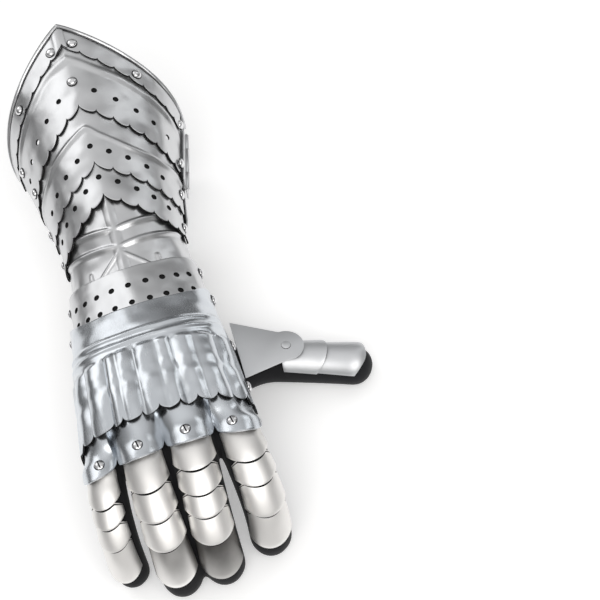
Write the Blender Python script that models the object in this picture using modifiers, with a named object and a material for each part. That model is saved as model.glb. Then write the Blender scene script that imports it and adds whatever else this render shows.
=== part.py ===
"""Armoured gauntlet for the right hand, lying palm down.

Metres, +Z up. X points to the thumb side, Y from the fingers to the cuff opening.
Everything is worked out around the line through the two wrist rivets of the hand plate
(the hand pivot), and the whole is moved at the end so that it stands on Z = 0.
"""

import bmesh
import bpy
from math import asin, atan2, cos, degrees, pi, radians, sin
from mathutils import Matrix, Vector

# Overall sizes
CUFF_LENGTH = 0.229         # hand pivot to the peak of the cuff's rim
CUFF_HALF_WIDTH = 0.0597    # innermost cuff plate at the end of the rim
CUFF_HEIGHT = 0.0728        # innermost cuff plate at the peak, above the pivot line
CUFF_DEPTH = 0.0500         # pivot line down to the underarm plate
HAND_LENGTH = 0.130         # hand pivot to the knuckle lobes
HAND_HALF_WIDTH = 0.0580    # outside of the hand plates at the knuckles
HAND_HEIGHT = 0.0375        # top of the hand plate above the pivot line
HAND_DEPTH = 0.035          # how far the hand's section turns in below the pivot line
FINGER_REACH = 0.0765       # knuckles to the end of the ring finger's line, the longest

# Sheet metal and clearances
STEEL = 0.0012
SCALE_STEEL = 0.0009
LEATHER = 0.0020
LAYER_GAP = 0.0005          # between cuff plates that lap
WRIST_GAP = 0.0008          # between wrist plates that turn on each other
TOUCH = 0.0003              # between pieces that rest on each other
RIVET_SEAT = 0.0005         # under a rivet's head and over its tail, for plates that curve
LAYER = STEEL + LAYER_GAP
WRIST_LAYER = STEEL + WRIST_GAP

# Places of the rivets along the cuff and the hand, from the hand pivot
WRIST_PIVOT_Y = 0.1131 * CUFF_LENGTH
LOWER_PLATE_RIVET_Y = 0.3013 * CUFF_LENGTH
MIDDLE_PLATE_RIVET_Y = 0.4380 * CUFF_LENGTH
RIDGE_RIVET_Y = 0.7808 * CUFF_LENGTH
HAND_SIDE_RIVET_Y = -0.3177 * HAND_LENGTH
KNUCKLE_RIVET_Y = -0.5846 * HAND_LENGTH
SIDE_RIVET_ANGLE = 88       # degrees from the ridge of the cuff's side rivets

# Laps, scallops and rims
PLATE_LAP = 0.0065          # how far each cuff plate runs up under the next
SIDE_LAP = 0.0175           # the same at the sides, where the rivets hold the plates
SIDE_LAP_ANGLES = (68, 82)  # degrees where the lap starts to grow and where it is full
WRIST_TUCK = 0.0080         # how far the ribbed plate runs on under the lame
TUCK_DROP = 0.0010          # how much a plate drops where the next one tips over it
TUCK_LENGTH = 0.0160
SCALLOP_STEPS = 3           # straight steps that draw one scallop
SCALLOP_DEPTH = 0.0042
RIM_CURL = 0.0006           # inside radius of the rim's roll
BORDER_WIDTH = 0.0180
BORDER_SCALLOP = 0.0028
BORDER_RIM_SPACE = 0.0042   # keeps the border band clear of the roll
BORDER_LAP = 2.6            # degrees past the ridge where the two halves lap

# Rivets
RIVET_HEAD = 0.0028
RIVET_DOME = 0.0016
RIVET_SHANK = 0.0012
RIVET_TAIL = 0.0019
TAIL_THICKNESS = 0.0007
SCREW_HEAD = 0.0030
SCREW_DOME = 0.0012

# Hinge
HINGE_LENGTH = 0.2358 * CUFF_LENGTH
HINGE_START = 0.4956 * CUFF_LENGTH      # lower end of the barrel along the cuff
BARREL_RADIUS = 0.0022
PIN_RADIUS = 0.0010
PIN_CLEARANCE = 0.00025
LEAF_THICKNESS = 0.0009
LEAF_WIDTH = 0.0095
KNUCKLE_SPLITS = (0.0, 0.28, 0.72, 1.0)

# Underarm plate
UNDERARM_START = 0.3799 * CUFF_LENGTH
UNDERARM_END = 0.7511 * CUFF_LENGTH
UNDERARM_FREE_LAP = 16      # degrees that its free edge runs up inside the cuff plates
UNDERARM_STEP = 8           # degrees a facet, one of them centred underneath

# Cuff sections, as shares of the length, half width, height and height again
CUFF_SECTIONS = (
    # along, half_width, height, ridge
    (-0.131, 0.796, 0.371, 0.010),
    (0.000, 0.762, 0.371, 0.016),
    (0.114, 0.750, 0.371, 0.027),
    (0.201, 0.730, 0.430, 0.041),
    (0.297, 0.720, 0.522, 0.055),
    (0.437, 0.771, 0.611, 0.069),
    (0.590, 0.874, 0.721, 0.082),
    (0.742, 1.000, 0.824, 0.096),
    (1.000, 1.173, 1.000, 0.110),
)
# Edges of the cuff plates, as shares of the cuff's length, against a share of a right angle
CUFF_EDGES = (
    # turn, rim, upper_plate, middle_plate, lower_plate
    (0.00, 1.000, 0.694, 0.489, 0.378),
    (0.15, 0.950, 0.658, 0.458, 0.351),
    (0.30, 0.905, 0.622, 0.437, 0.329),
    (0.45, 0.866, 0.596, 0.4155, 0.309),
    (0.60, 0.833, 0.570, 0.398, 0.289),
    (0.80, 0.792, 0.540, 0.382, 0.276),
    (1.00, 0.752, 0.526, 0.378, 0.271),
)
RIM, UPPER, MIDDLE, LOWER = 1, 2, 3, 4
# Edges at the wrist, as shares of the cuff's length, against a share of a right angle
WRIST_EDGES = (
    # turn, lame_top, lame_bottom, hand_top
    (0.00, 0.118, -0.072, -0.036),
    (0.28, 0.124, -0.068, -0.033),
    (0.55, 0.140, -0.055, -0.014),
    (0.80, 0.150, -0.040, 0.014),
    (1.00, 0.152, -0.031, 0.028),
)
LAME_TOP, LAME_BOTTOM, HAND_TOP = 1, 2, 3
# Hand sections, as shares of the hand's length, half width and height
HAND_SECTIONS = (
    # along, half_width, height
    (-1.060, 1.000, 0.660),
    (-1.000, 1.000, 0.720),
    (-0.730, 0.991, 0.933),
    (-0.575, 0.966, 0.987),
    (-0.318, 0.930, 1.000),
    (-0.120, 0.878, 0.900),
    (0.000, 0.860, 0.850),
    (0.092, 0.857, 0.840),
)
HAND_SQUARENESS = 2.3
# Lobes of the hand plate's lower edge: where each cusp lies across the hand
HAND_CUSPS = (-1.75, -1.35, -1.02, -0.80, -0.47, -0.32, -0.11, 0.03, 0.23, 0.42, 0.68, 0.97, 1.18, 1.48, 1.75)
HAND_LOBE_EDGE = -0.700     # share of the hand's length at the cusps
HAND_LOBE_DEPTH = 0.0045
# Fingers, as shares of the hand's half width, the finger reach and the knuckle height
FINGERS = (
    # name, base_across, tip_across, reach, knuckle_top, radius, bow_across, roll
    ("index", 0.724, 0.716, 0.817, 0.605, 0.0133, 0.100, 14),
    ("middle", 0.236, 0.154, 0.933, 0.800, 0.0133, 0.015, 5),
    ("ring", -0.293, -0.318, 0.918, 0.790, 0.0131, 0.015, -2),
    ("little", -0.759, -0.842, 0.715, 0.565, 0.0108, -0.015, -14),
)
# Where each scale ends, as a share of its finger's line
FINGER_SCALE_ENDS = {
    "index": (0.400, 0.564, 0.766, 0.974),
    "middle": (0.344, 0.488, 0.618, 0.774, 0.980),
    "ring": (0.386, 0.564, 0.734, 0.954),
    "little": (0.430, 0.572, 0.728, 0.964),
}
FINGER_START_Y = -0.7692 * HAND_LENGTH  # where the finger's line leaves the hand
FINGER_ARCH = (0.38, 0.22, 0.62)        # reach of the line's ends, and the drop before its tip
FINGER_LEAN = 0.2           # share of the lean taken up by each end of the line
FINGER_TAPER = 0.92
FINGER_STEPS = 8            # rings along a glove finger
FINGER_SIDES = 10
ROOT_SLIMMING = 0.45
SIDE_BULGE = 0.13           # how much fuller the glove's fingers are below the scales' edges
GLOVE_GAP = 0.0006          # between the glove and the scales on it
SCALE_HALF_ANGLE = 62
SCALE_COLUMNS = 8
SCALE_ROWS = 3
SCALE_LAP = 0.32            # share of a scale's shown length that runs under the one before
SCALE_ROUNDING = 0.0065     # how far the rounded end of a scale runs past its sides
LOBE_STEPS = 6
KNUCKLE_TOP_Y = -0.5231 * HAND_LENGTH   # upper edge of the knuckle plate, under the hand plate
KNUCKLE_BEND_Y = -0.7346 * HAND_LENGTH  # where it leaves the hand's section for the finger lobes
KNUCKLE_LOBE_Y = -0.8385 * HAND_LENGTH
KNUCKLE_EDGE_Y = -0.9077 * HAND_LENGTH
KNUCKLE_SCREW_Y = -0.8500 * HAND_LENGTH
KNUCKLE_DIP_YS = (-0.6350 * HAND_LENGTH, -0.7346 * HAND_LENGTH)    # where the lobes' creases start and are full
KNUCKLE_DIP = 0.75          # share of the lobes' depth that the creases have under the hand plate
KNUCKLE_ROUNDING = 0.0065
KNUCKLE_SIDE_TURN = 84      # degrees that the outer lobes run down at the sides
SCREW_EDGE = 0.0032         # metal between a screw and the end of the scale that it holds

# Thumb
THUMB_LINE = (
    # across, along, up from the pivot line, as shares of the hand's half width, length and depth
    (0.45, -0.277, -0.34),
    (0.86, -0.277, -0.69),
    (1.47, -0.308, -1.10),
    (2.21, -0.462, -1.115),
)
THUMB_RADIUS = 0.0129
THUMB_TAPER = 0.96
THUMB_SPREAD = 1.1          # how much the thumb's root widens toward the fingers
THUMB_SCALE_STARTS = (0.60, 0.80)
THUMB_SCALE_ENDS = (0.87, 1.0)
THUMB_SCALE_RISE = 0.0022   # how much a thumb scale lifts off the glove from its root to its end
TIP_COVER = 0.75            # share of a fingertip's round end that its last scale covers
WING_ROOT_X = 0.9655 * HAND_HALF_WIDTH
WING_RIVET = (1.5172 * HAND_HALF_WIDTH, -0.3269 * HAND_LENGTH)
WING_END_RADIUS = 0.0120
WING_END_TURN = 100         # degrees each way that its round end turns
WING_ROOT_Y = (-0.1154 * HAND_LENGTH, -0.4769 * HAND_LENGTH)
WING_ROOT_Z = -0.2800 * HAND_DEPTH
WING_SLOPE = 0.215
WING_RIVET_DOME = 0.0008
WING_SCALE_GAP = 0.0008     # between the wing and the thumb's first scale under it

# Palm of the glove, as shares of the hand's length, half width, height and depth
PALM_SECTIONS = (
    # along, half_width, top, bottom
    (-0.045, 0.740, 0.500, -0.54),
    (-0.180, 0.780, 0.640, -0.68),
    (-0.380, 0.800, 0.800, -0.76),
    (-0.620, 0.845, 0.720, -0.76),
    (-0.740, 0.850, 0.500, -0.70),
    (-0.820, 0.800, 0.200, -0.52),
)
PALM_SIDES = 20
PALM_SQUARENESS = 2.6

# Ridge and side angles, in degrees from the top of the section
RIDGE_SPAN = 60
CUFF_PLATES = (
    # name, edge column, layers out, scallops a side, degrees a scallop
    ("cuff_upper_plate", UPPER, 3, 9, 10.6),
    ("cuff_middle_plate", MIDDLE, 2, 7, 13.3),
    ("cuff_lower_plate", LOWER, 1, 7, 13.9),
)
WRIST_SIDE = 100
HAND_SIDE = 101

MATERIALS = {
    # name: colour, roughness, metallic
    "cuff_steel": ((0.66, 0.67, 0.68), 0.28, 1.0),
    "hand_steel": ((0.56, 0.59, 0.62), 0.30, 1.0),
    "scale_steel": ((0.72, 0.70, 0.67), 0.26, 1.0),
    "thumb_steel": ((0.44, 0.46, 0.48), 0.38, 1.0),
    "rivet_steel": ((0.74, 0.75, 0.77), 0.20, 1.0),
    "black_leather": ((0.018, 0.018, 0.020), 0.85, 0.0),
}


def clear_scene():
    for item in list(bpy.data.objects):
        bpy.data.objects.remove(item, do_unlink=True)
    for group in list(bpy.data.collections):
        bpy.data.collections.remove(group)


def make_collection(name):
    group = bpy.data.collections.new(name)
    bpy.context.scene.collection.children.link(group)
    return group


def make_materials():
    made = {}
    for name, (colour, roughness, metallic) in MATERIALS.items():
        material = bpy.data.materials.new(name)
        material.use_nodes = True
        shader = material.node_tree.nodes["Principled BSDF"]
        shader.inputs["Base Color"].default_value = (*colour, 1.0)
        shader.inputs["Roughness"].default_value = roughness
        shader.inputs["Metallic"].default_value = metallic
        made[name] = material
    return made


def smooth(table, column, at):
    """Read one column of a table at a place in its first column, on a curve without overshoot."""
    rows = sorted(table)
    keys = [row[0] for row in rows]
    values = [row[column] for row in rows]
    at = min(max(at, keys[0]), keys[-1])
    slopes = [(values[i + 1] - values[i]) / (keys[i + 1] - keys[i]) for i in range(len(rows) - 1)]
    tangents = [slopes[0]]
    for before, after in zip(slopes, slopes[1:]):
        same_way = before * after > 0
        tangents.append(2 * before * after / (before + after) if same_way else 0.0)
    tangents.append(slopes[-1])
    i = max(k for k in range(len(rows) - 1) if keys[k] <= at)
    width = keys[i + 1] - keys[i]
    t = (at - keys[i]) / width
    return (
        values[i] * (1 + 2 * t) * (1 - t) ** 2
        + values[i + 1] * t * t * (3 - 2 * t)
        + width * tangents[i] * t * (1 - t) ** 2
        + width * tangents[i + 1] * t * t * (t - 1)
    )


def ease(t):
    t = min(max(t, 0.0), 1.0)
    return t * t * (3 - 2 * t)


def cuff_point(y, angle, out):
    """A point on the cuff: angle in degrees from the ridge, positive to the thumb side."""
    along = y / CUFF_LENGTH
    half_width = CUFF_HALF_WIDTH * smooth(CUFF_SECTIONS, 1, along) + out
    ridge = CUFF_HEIGHT * smooth(CUFF_SECTIONS, 3, along)
    height = CUFF_HEIGHT * smooth(CUFF_SECTIONS, 2, along) + out - ridge
    turn = radians(angle)
    if cos(turn) < 0:
        return Vector((half_width * sin(turn), y, (CUFF_DEPTH + out) * cos(turn)))
    peak = ridge * max(0.0, 1 - abs(angle) / RIDGE_SPAN) ** 1.5
    return Vector((half_width * sin(turn), y, height * cos(turn) + peak))


def hand_point(y, angle, out):
    """A point on the hand: a squarer section than the cuff's."""
    along = y / HAND_LENGTH
    half_width = HAND_HALF_WIDTH * smooth(HAND_SECTIONS, 1, along) + out
    height = HAND_HEIGHT * smooth(HAND_SECTIONS, 2, along) + out
    turn = radians(angle)
    power = 2 / HAND_SQUARENESS
    across = abs(sin(turn)) ** power * (1 if angle >= 0 else -1)
    rise = abs(cos(turn)) ** power
    level = height * rise if cos(turn) >= 0 else -(HAND_DEPTH + out) * rise
    return Vector((half_width * across, y, level))


def normal_at(surface, y, angle, out):
    """The outward direction of a surface, from two short steps on it."""
    step = 0.001
    turn = 1.0
    along = surface(y + step, angle, out) - surface(y - step, angle, out)
    across = surface(y, angle + turn, out) - surface(y, angle - turn, out)
    return across.cross(along).normalized()


def cuff_edge(column, angle):
    return CUFF_LENGTH * smooth(CUFF_EDGES, column, abs(angle) / 90)


def wrist_edge(column, angle):
    return CUFF_LENGTH * smooth(WRIST_EDGES, column, abs(angle) / 90)


def plate_top(column, angle):
    """Upper edge of a plate that runs up under the plate whose lower edge is the column's."""
    start, full = SIDE_LAP_ANGLES
    lap = PLATE_LAP + (SIDE_LAP - PLATE_LAP) * ease((abs(angle) - start) / (full - start))
    return cuff_edge(column, angle) + lap


def scallop(angle, pitch, depth=SCALLOP_DEPTH):
    """How far a scalloped edge drops below its cusps, which lie a pitch apart from the ridge."""
    share = (abs(angle) / pitch) % 1.0
    return depth * (1 - (2 * share - 1) ** 2) ** 0.5 if 0 < share < 1 else 0.0


def add_object(name, mesh, material, body):
    item = bpy.data.objects.new(name, mesh)
    mesh.materials.append(material)
    parts.objects.link(item)
    item.parent = bodies[body]
    item.matrix_parent_inverse = bodies[body].matrix_world.inverted()
    return item


def grid_mesh(name, columns, rows, place):
    """A grid whose vertices are placed by a function of column and row."""
    shape = bmesh.new()
    bmesh.ops.create_grid(shape, x_segments=columns, y_segments=rows, size=1)
    for vertex in shape.verts:
        column = round((vertex.co.x + 1) / 2 * columns)
        row = round((vertex.co.y + 1) / 2 * rows)
        vertex.co = place(column, row)
    mesh = bpy.data.meshes.new(name)
    shape.to_mesh(mesh)
    shape.free()
    return mesh


def add_wall(item, thickness):
    wall = item.modifiers.new("wall", "SOLIDIFY")
    wall.thickness = thickness
    wall.offset = -1
    wall.use_even_offset = True


def add_plate(name, surface, angles, rows, lower, upper, lift, material, body, curl=0):
    """A sheet on a surface, between two edges that are functions of the angle.

    lift(angle, y) is how far its outside stands off the surface, and curl is how many
    steps of a rolled rim follow its upper edge.
    """
    def place(column, row):
        angle = angles[column]
        low = lower(angle)
        high = upper(angle)
        share = min(row, rows) / rows
        y = low + (high - low) * share
        point = surface(y, angle, lift(angle, y))
        if row <= rows:
            return point
        out = normal_at(surface, y, angle, lift(angle, y))
        along = (surface(y + 0.001, angle, lift(angle, y)) - point).normalized()
        turn = radians(270) * (row - rows) / curl
        return point + RIM_CURL * (along * sin(turn) + out * (1 - cos(turn)))

    mesh = grid_mesh(name, len(angles) - 1, rows + curl, place)
    item = add_object(name, mesh, materials[material], body)
    add_wall(item, STEEL)
    return item


def even_angles(start, end, count):
    return [start + (end - start) * i / count for i in range(count + 1)]


def scalloped_angles(count, pitch):
    return even_angles(-count * pitch, count * pitch, 2 * count * SCALLOP_STEPS)


def stretch_angles(cusps, steps):
    """Angles at the cusps and at even steps between them."""
    found = []
    for left, right in zip(cusps, cusps[1:]):
        found += [left + (right - left) * i / steps for i in range(steps)]
    return found + [cusps[-1]]


def lobe(angle, cusps, depth):
    """How far an edge with uneven lobes drops below its cusps."""
    for left, right in zip(cusps, cusps[1:]):
        if left <= angle <= right:
            share = (angle - left) / (right - left)
            return depth * (1 - (2 * share - 1) ** 2) ** 0.5 if 0 < share < 1 else 0.0
    return 0.0


def keep_cutter(cutter):
    """File a cutter away, hidden, where it moves with the whole gauntlet."""
    cutters.objects.link(cutter)
    cutter.parent = bodies["cuff"]
    cutter.hide_render = True
    cutter.display_type = "WIRE"


def make_cutter(name, radius, length, place, direction, sides=8):
    """A hidden round cutter whose flats clear the radius."""
    bpy.ops.mesh.primitive_cylinder_add(vertices=sides, radius=radius / cos(pi / sides), depth=length)
    cutter = bpy.context.object
    cutter.name = name
    cutter.location = place
    cutter.rotation_mode = "QUATERNION"
    cutter.rotation_quaternion = direction.to_track_quat("Z", "Y")
    for group in list(cutter.users_collection):
        group.objects.unlink(cutter)
    keep_cutter(cutter)
    return cutter


def cut(item, cutter, operation="DIFFERENCE"):
    change = item.modifiers.new(cutter.name, "BOOLEAN")
    change.operation = operation
    change.solver = "EXACT"
    change.object = cutter


def add_turned(name, profile, material, body, place, direction, steps=8):
    """A closed turned solid from a profile that runs down its outer side."""
    mesh = bpy.data.meshes.new(name)
    edges = [(i, i + 1) for i in range(len(profile) - 1)]
    mesh.from_pydata([(x, 0, z) for x, z in profile], edges, [])
    item = add_object(name, mesh, materials[material], body)
    spin = item.modifiers.new("turn", "SCREW")
    spin.axis = "Z"
    spin.angle = 2 * pi
    spin.steps = steps
    spin.render_steps = steps
    spin.use_merge_vertices = True
    spin.merge_threshold = 0.00001
    item.location = place
    item.rotation_mode = "QUATERNION"
    item.rotation_quaternion = direction.to_track_quat("Z", "Y")
    return item


def add_rivet(name, surface, y, angle, out, grip, body, plates, head=RIVET_HEAD, dome=RIVET_DOME,
              straight=False, tail=RIVET_TAIL):
    """A rivet through plates whose outside stands off the surface by out.

    grip is the stack that it holds, and straight keeps it on the X axis as a pivot.
    """
    point = surface(y, angle, out)
    direction = normal_at(surface, y, angle, out)
    if straight:
        direction = Vector((1 if angle > 0 else -1, 0, 0))
    bottom = -(grip + 2 * RIVET_SEAT)
    profile = [
        (0, dome), (head * 0.6, dome * 0.78), (head, dome * 0.25), (head, 0),
        (RIVET_SHANK, 0), (RIVET_SHANK, bottom),
    ]
    if tail > RIVET_SHANK:
        profile += [(tail, bottom), (tail, bottom - TAIL_THICKNESS), (0, bottom - TAIL_THICKNESS)]
    else:
        profile += [(0, bottom)]
    add_turned(name, profile, "rivet_steel", body, point + direction * RIVET_SEAT, direction)
    hole = make_cutter("hole_" + name, RIVET_SHANK + TOUCH, 4 * grip + 0.004, point - direction * grip / 2,
                       direction)
    for plate in plates:
        cut(plate, hole)


# Cuff

def make_cuff():
    """The cuff's plates, from the outside in, its border bands and its rivets."""
    plates = {}
    tops = {UPPER: lambda angle: cuff_edge(RIM, angle),
            MIDDLE: lambda angle: plate_top(UPPER, angle),
            LOWER: lambda angle: plate_top(MIDDLE, angle)}
    for name, column, layers, count, pitch in CUFF_PLATES:
        plates[column] = add_plate(
            name, cuff_point, scalloped_angles(count, pitch), 3,
            lambda angle, c=column, p=pitch: cuff_edge(c, angle) - scallop(angle, p),
            tops[column], lambda angle, y, n=layers: n * LAYER, "cuff_steel", "cuff",
            curl=4 if column == UPPER else 0)
    ribbed = add_plate(
        "ribbed_wrist_plate", cuff_point, even_angles(-WRIST_SIDE, WRIST_SIDE, 24), 5,
        lambda angle: WRIST_PIVOT_Y - WRIST_TUCK, lambda angle: plate_top(LOWER, angle),
        wrist_tuck_lift, "cuff_steel", "cuff")
    make_border(plates[UPPER])
    for label, sign in (("thumb_side", 1), ("little_side", -1)):
        side = sign * SIDE_RIVET_ANGLE
        add_rivet("middle_plate_rivet_" + label, cuff_point, MIDDLE_PLATE_RIVET_Y, side, 2 * LAYER,
                  2 * LAYER, "cuff", [plates[MIDDLE], plates[LOWER]])
        add_rivet("lower_plate_rivet_" + label, cuff_point, LOWER_PLATE_RIVET_Y, side, LAYER,
                  2 * LAYER, "cuff", [plates[LOWER], ribbed])
    add_rivet("ridge_rivet", cuff_point, RIDGE_RIVET_Y, 0, 3 * LAYER, STEEL, "cuff", [plates[UPPER]])
    return ribbed


def wrist_tuck_lift(angle, y):
    """The ribbed plate's lower end drops a little, so that the lame can tip over it."""
    start = WRIST_PIVOT_Y - WRIST_TUCK + TUCK_LENGTH
    return -TUCK_DROP * ease((start - y) / TUCK_LENGTH)


def lame_lift(angle, y):
    """The lame's lower end drops the same way under the hand plate."""
    return WRIST_LAYER - TUCK_DROP * ease(-y / TUCK_LENGTH)


def border_rise(angle):
    """One on the ridge, where one half laps over the other, and none a short way off it."""
    return ease(1 - max(0.0, abs(angle) - 1.2 * BORDER_LAP) / (1.1 * BORDER_LAP))


def make_border(upper_plate):
    """Two scalloped halves on the rim, whose ends lap on the ridge."""
    pitch = 9.0
    out = 3 * LAYER + STEEL + TOUCH
    lap_lift = STEEL + TOUCH
    halves = []
    for name, sign, count in (("border_band_thumb_side", 1, 9), ("border_band_little_side", -1, 10)):
        angles = [-BORDER_LAP * sign] + [sign * a for a in even_angles(0, count * pitch, count * SCALLOP_STEPS)]
        angles.sort()
        lifted = lap_lift if sign < 0 else 0.0

        def lift(angle, y, amount=lifted):
            return out + amount * border_rise(angle)

        halves.append(add_plate(
            name, cuff_point, angles, 1,
            lambda angle: cuff_edge(RIM, angle) - BORDER_WIDTH - scallop(angle, pitch, BORDER_SCALLOP),
            lambda angle: cuff_edge(RIM, angle) - BORDER_RIM_SPACE, lift, "cuff_steel", "cuff"))
    rivets = (
        # label, angle, below the rim, half
        ("thumb_side_peak", 5.8, 0.0138, 0), ("thumb_side", 40.9, 0.0130, 0),
        ("little_side_peak", -7.6, 0.0140, 1), ("little_side", -40.6, 0.0120, 1))
    for label, angle, below, half in rivets:
        extra = lap_lift * border_rise(angle) if half else 0.0
        add_rivet("border_rivet_" + label, cuff_point, cuff_edge(RIM, angle) - below, angle, out + extra,
                  2 * STEEL + TOUCH + extra, "cuff", [halves[half], upper_plate])


# Hinge and underarm plate

def hinge_frame():
    """The hinge's lower end, its direction along the cuff and the outward direction there."""
    out = 3 * LAYER
    count, pitch = CUFF_PLATES[0][3:]
    edge = count * pitch
    start = cuff_point(HINGE_START, edge, out)
    end = cuff_point(HINGE_START + HINGE_LENGTH, edge, out)
    along = (end - start).normalized()
    outward = normal_at(cuff_point, HINGE_START + HINGE_LENGTH / 2, edge, out)
    down = along.cross(outward).normalized()
    if down.z > 0:
        down = -down
    outward = (outward - along * outward.dot(along)).normalized()
    centre = start + outward * (BARREL_RADIUS * 0.75) + down * (BARREL_RADIUS + 2 * TOUCH)
    return centre, along, outward, down


def add_leaf(name, body, away, spans):
    """A flat leaf that runs away from the pin, with the knuckles that it carries, bored for the pin."""
    centre, along, outward, down = hinge_frame()
    base = centre - outward * (BARREL_RADIUS * 0.75 - LEAF_THICKNESS / 2 - LAYER_GAP)
    near = base + away * (PIN_RADIUS + PIN_CLEARANCE + 2 * TOUCH)
    bpy.ops.mesh.primitive_cube_add(size=1)
    leaf = bpy.context.object
    mesh = leaf.data
    middle = near + away * LEAF_WIDTH / 2 + along * HINGE_LENGTH / 2
    turn = Matrix((away, along, away.cross(along))).transposed().to_4x4()
    mesh.transform(Matrix.Translation(middle) @ turn @ Matrix.Diagonal((LEAF_WIDTH, HINGE_LENGTH, LEAF_THICKNESS, 1)))
    bpy.data.objects.remove(leaf)
    item = add_object(name, mesh, materials["cuff_steel"], body)
    gap = TOUCH
    for start, end in zip(KNUCKLE_SPLITS, KNUCKLE_SPLITS[1:]):
        mine = (start, end) in spans
        low = start * HINGE_LENGTH + (gap / 2 if start > 0 else 0)
        high = end * HINGE_LENGTH - (gap / 2 if end < 1 else 0)
        if mine:
            place = centre + along * (low + high) / 2
            knuckle = make_cutter(name + "_knuckle_%d" % round(start * 100), BARREL_RADIUS, high - low, place,
                                  along, sides=10)
            cut(item, knuckle, "UNION")
        else:
            spare = 2 * gap
            place = centre + along * (start + end) / 2 * HINGE_LENGTH
            length = (end - start) * HINGE_LENGTH + (gap if 0 < start and end < 1 else spare)
            relief = make_cutter(name + "_relief_%d" % round(start * 100), BARREL_RADIUS + 1.5 * gap, length, place,
                                 along, sides=10)
            cut(item, relief)
    bore = make_cutter(name + "_bore", PIN_RADIUS + PIN_CLEARANCE, HINGE_LENGTH * 1.2,
                       centre + along * HINGE_LENGTH / 2, along)
    cut(item, bore)


def underarm_lift(angle, y):
    """Level with the upper plate at the hinge, inside every cuff plate at the free edge."""
    hinge_side = 3 * LAYER
    free_side = -(STEEL + 2 * LAYER_GAP)
    middle = LAYER
    if angle < 160:
        return middle + (hinge_side - middle) * ease((160 - angle) / 50)
    return middle + (free_side - middle) * ease((angle - 200) / 50)


def make_underarm():
    """The plate that closes the cuff underneath, and the hinge that it swings on."""
    centre, along, outward, down = hinge_frame()
    first = 180 - UNDERARM_STEP / 2 - 9 * UNDERARM_STEP
    last = 360 - CUFF_PLATES[0][3] * CUFF_PLATES[0][4] + UNDERARM_FREE_LAP
    count = round((last - first) / UNDERARM_STEP)
    angles = [first + i * UNDERARM_STEP for i in range(count + 1)]
    add_plate("underarm_plate", cuff_point, angles, 3, lambda angle: UNDERARM_START,
              lambda angle: UNDERARM_END, underarm_lift, "cuff_steel", "underarm_plate")
    outer = {(KNUCKLE_SPLITS[0], KNUCKLE_SPLITS[1]), (KNUCKLE_SPLITS[2], KNUCKLE_SPLITS[3])}
    inner = {(KNUCKLE_SPLITS[1], KNUCKLE_SPLITS[2])}
    add_leaf("hinge_leaf_cuff", "cuff", -down, outer)
    add_leaf("hinge_leaf_underarm", "underarm_plate", down, inner)
    bpy.ops.mesh.primitive_cylinder_add(vertices=8, radius=PIN_RADIUS, depth=HINGE_LENGTH + 0.002)
    pin = bpy.context.object
    mesh = pin.data
    bpy.data.objects.remove(pin)
    item = add_object("hinge_pin", mesh, materials["rivet_steel"], "cuff")
    item.location = centre + along * HINGE_LENGTH / 2
    item.rotation_mode = "QUATERNION"
    item.rotation_quaternion = along.to_track_quat("Z", "Y")


# Wrist lame and hand plates

def make_lame(ribbed):
    lame = add_plate("wrist_lame", cuff_point, even_angles(-WRIST_SIDE, WRIST_SIDE, 24), 3,
                     lambda angle: wrist_edge(LAME_BOTTOM, angle), lambda angle: wrist_edge(LAME_TOP, angle),
                     lame_lift, "cuff_steel", "wrist_lame")
    for label, sign in (("thumb_side", 1), ("little_side", -1)):
        add_rivet("wrist_rivet_" + label, cuff_point, WRIST_PIVOT_Y, sign * 90, WRIST_LAYER,
                  2 * STEEL + WRIST_GAP + TUCK_DROP, "wrist_lame", [lame, ribbed], straight=True)
    return lame


def make_hand_plate(lame):
    cusps = [degrees(share) for share in HAND_CUSPS]
    plate = add_plate(
        "hand_plate", hand_point, stretch_angles(cusps, SCALLOP_STEPS), 4,
        lambda angle: HAND_LENGTH * HAND_LOBE_EDGE - lobe(angle, cusps, HAND_LOBE_DEPTH),
        lambda angle: wrist_edge(HAND_TOP, angle), lambda angle, y: 0.0, "hand_steel", "hand")
    for label, sign in (("thumb_side", 1), ("little_side", -1)):
        stack = abs(hand_point(0.0, 90, 0.0).x) - abs(cuff_point(0.0, 90, WRIST_LAYER).x) + STEEL
        add_rivet("hand_pivot_rivet_" + label, hand_point, 0.0, sign * 90, 0.0, stack,
                  "hand", [plate, lame], straight=True)
        add_rivet("hand_side_rivet_" + label, hand_point, HAND_SIDE_RIVET_Y, sign * 90, 0.0, STEEL,
                  "hand", [plate])
    return plate


def finger_lines():
    """For each finger: its name, centre line, radius and roll."""
    lines = []
    floor = -(CUFF_DEPTH + LAYER)
    root_reach, tip_reach, tip_drop = FINGER_ARCH
    for name, base, tip, reach, top, radius, bow, roll in FINGERS:
        height = HAND_HEIGHT * top - knuckle_radius(radius)
        start = Vector((HAND_HALF_WIDTH * base, FINGER_START_Y, height))
        length = FINGER_REACH * reach
        end = Vector((HAND_HALF_WIDTH * tip, FINGER_START_Y - length, floor + radius * FINGER_TAPER))
        drop = start.z - end.z
        lean = end.x - start.x
        aside = HAND_HALF_WIDTH * bow
        out = start + Vector((FINGER_LEAN * lean, -root_reach * length, 0))
        back = end + Vector((aside - FINGER_LEAN * lean, tip_reach * length, tip_drop * drop))
        lines.append((name, (start, out, back, end), radius, roll))
    return lines


def knuckle_radius(radius):
    """Outside radius of the knuckle plate's lobe over a finger."""
    return radius + GLOVE_GAP + SCALE_STEEL + 3 * TOUCH + STEEL


def on_line(line, t):
    """A point on a Bezier line, carried straight on past its ends."""
    if t > 1 or t < 0:
        end = 1.0 if t > 1 else 0.0
        return on_line(line, end) + (t - end) * line_slope(line, end)
    points = list(line)
    while len(points) > 1:
        points = [a.lerp(b, t) for a, b in zip(points, points[1:])]
    return points[0]


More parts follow.
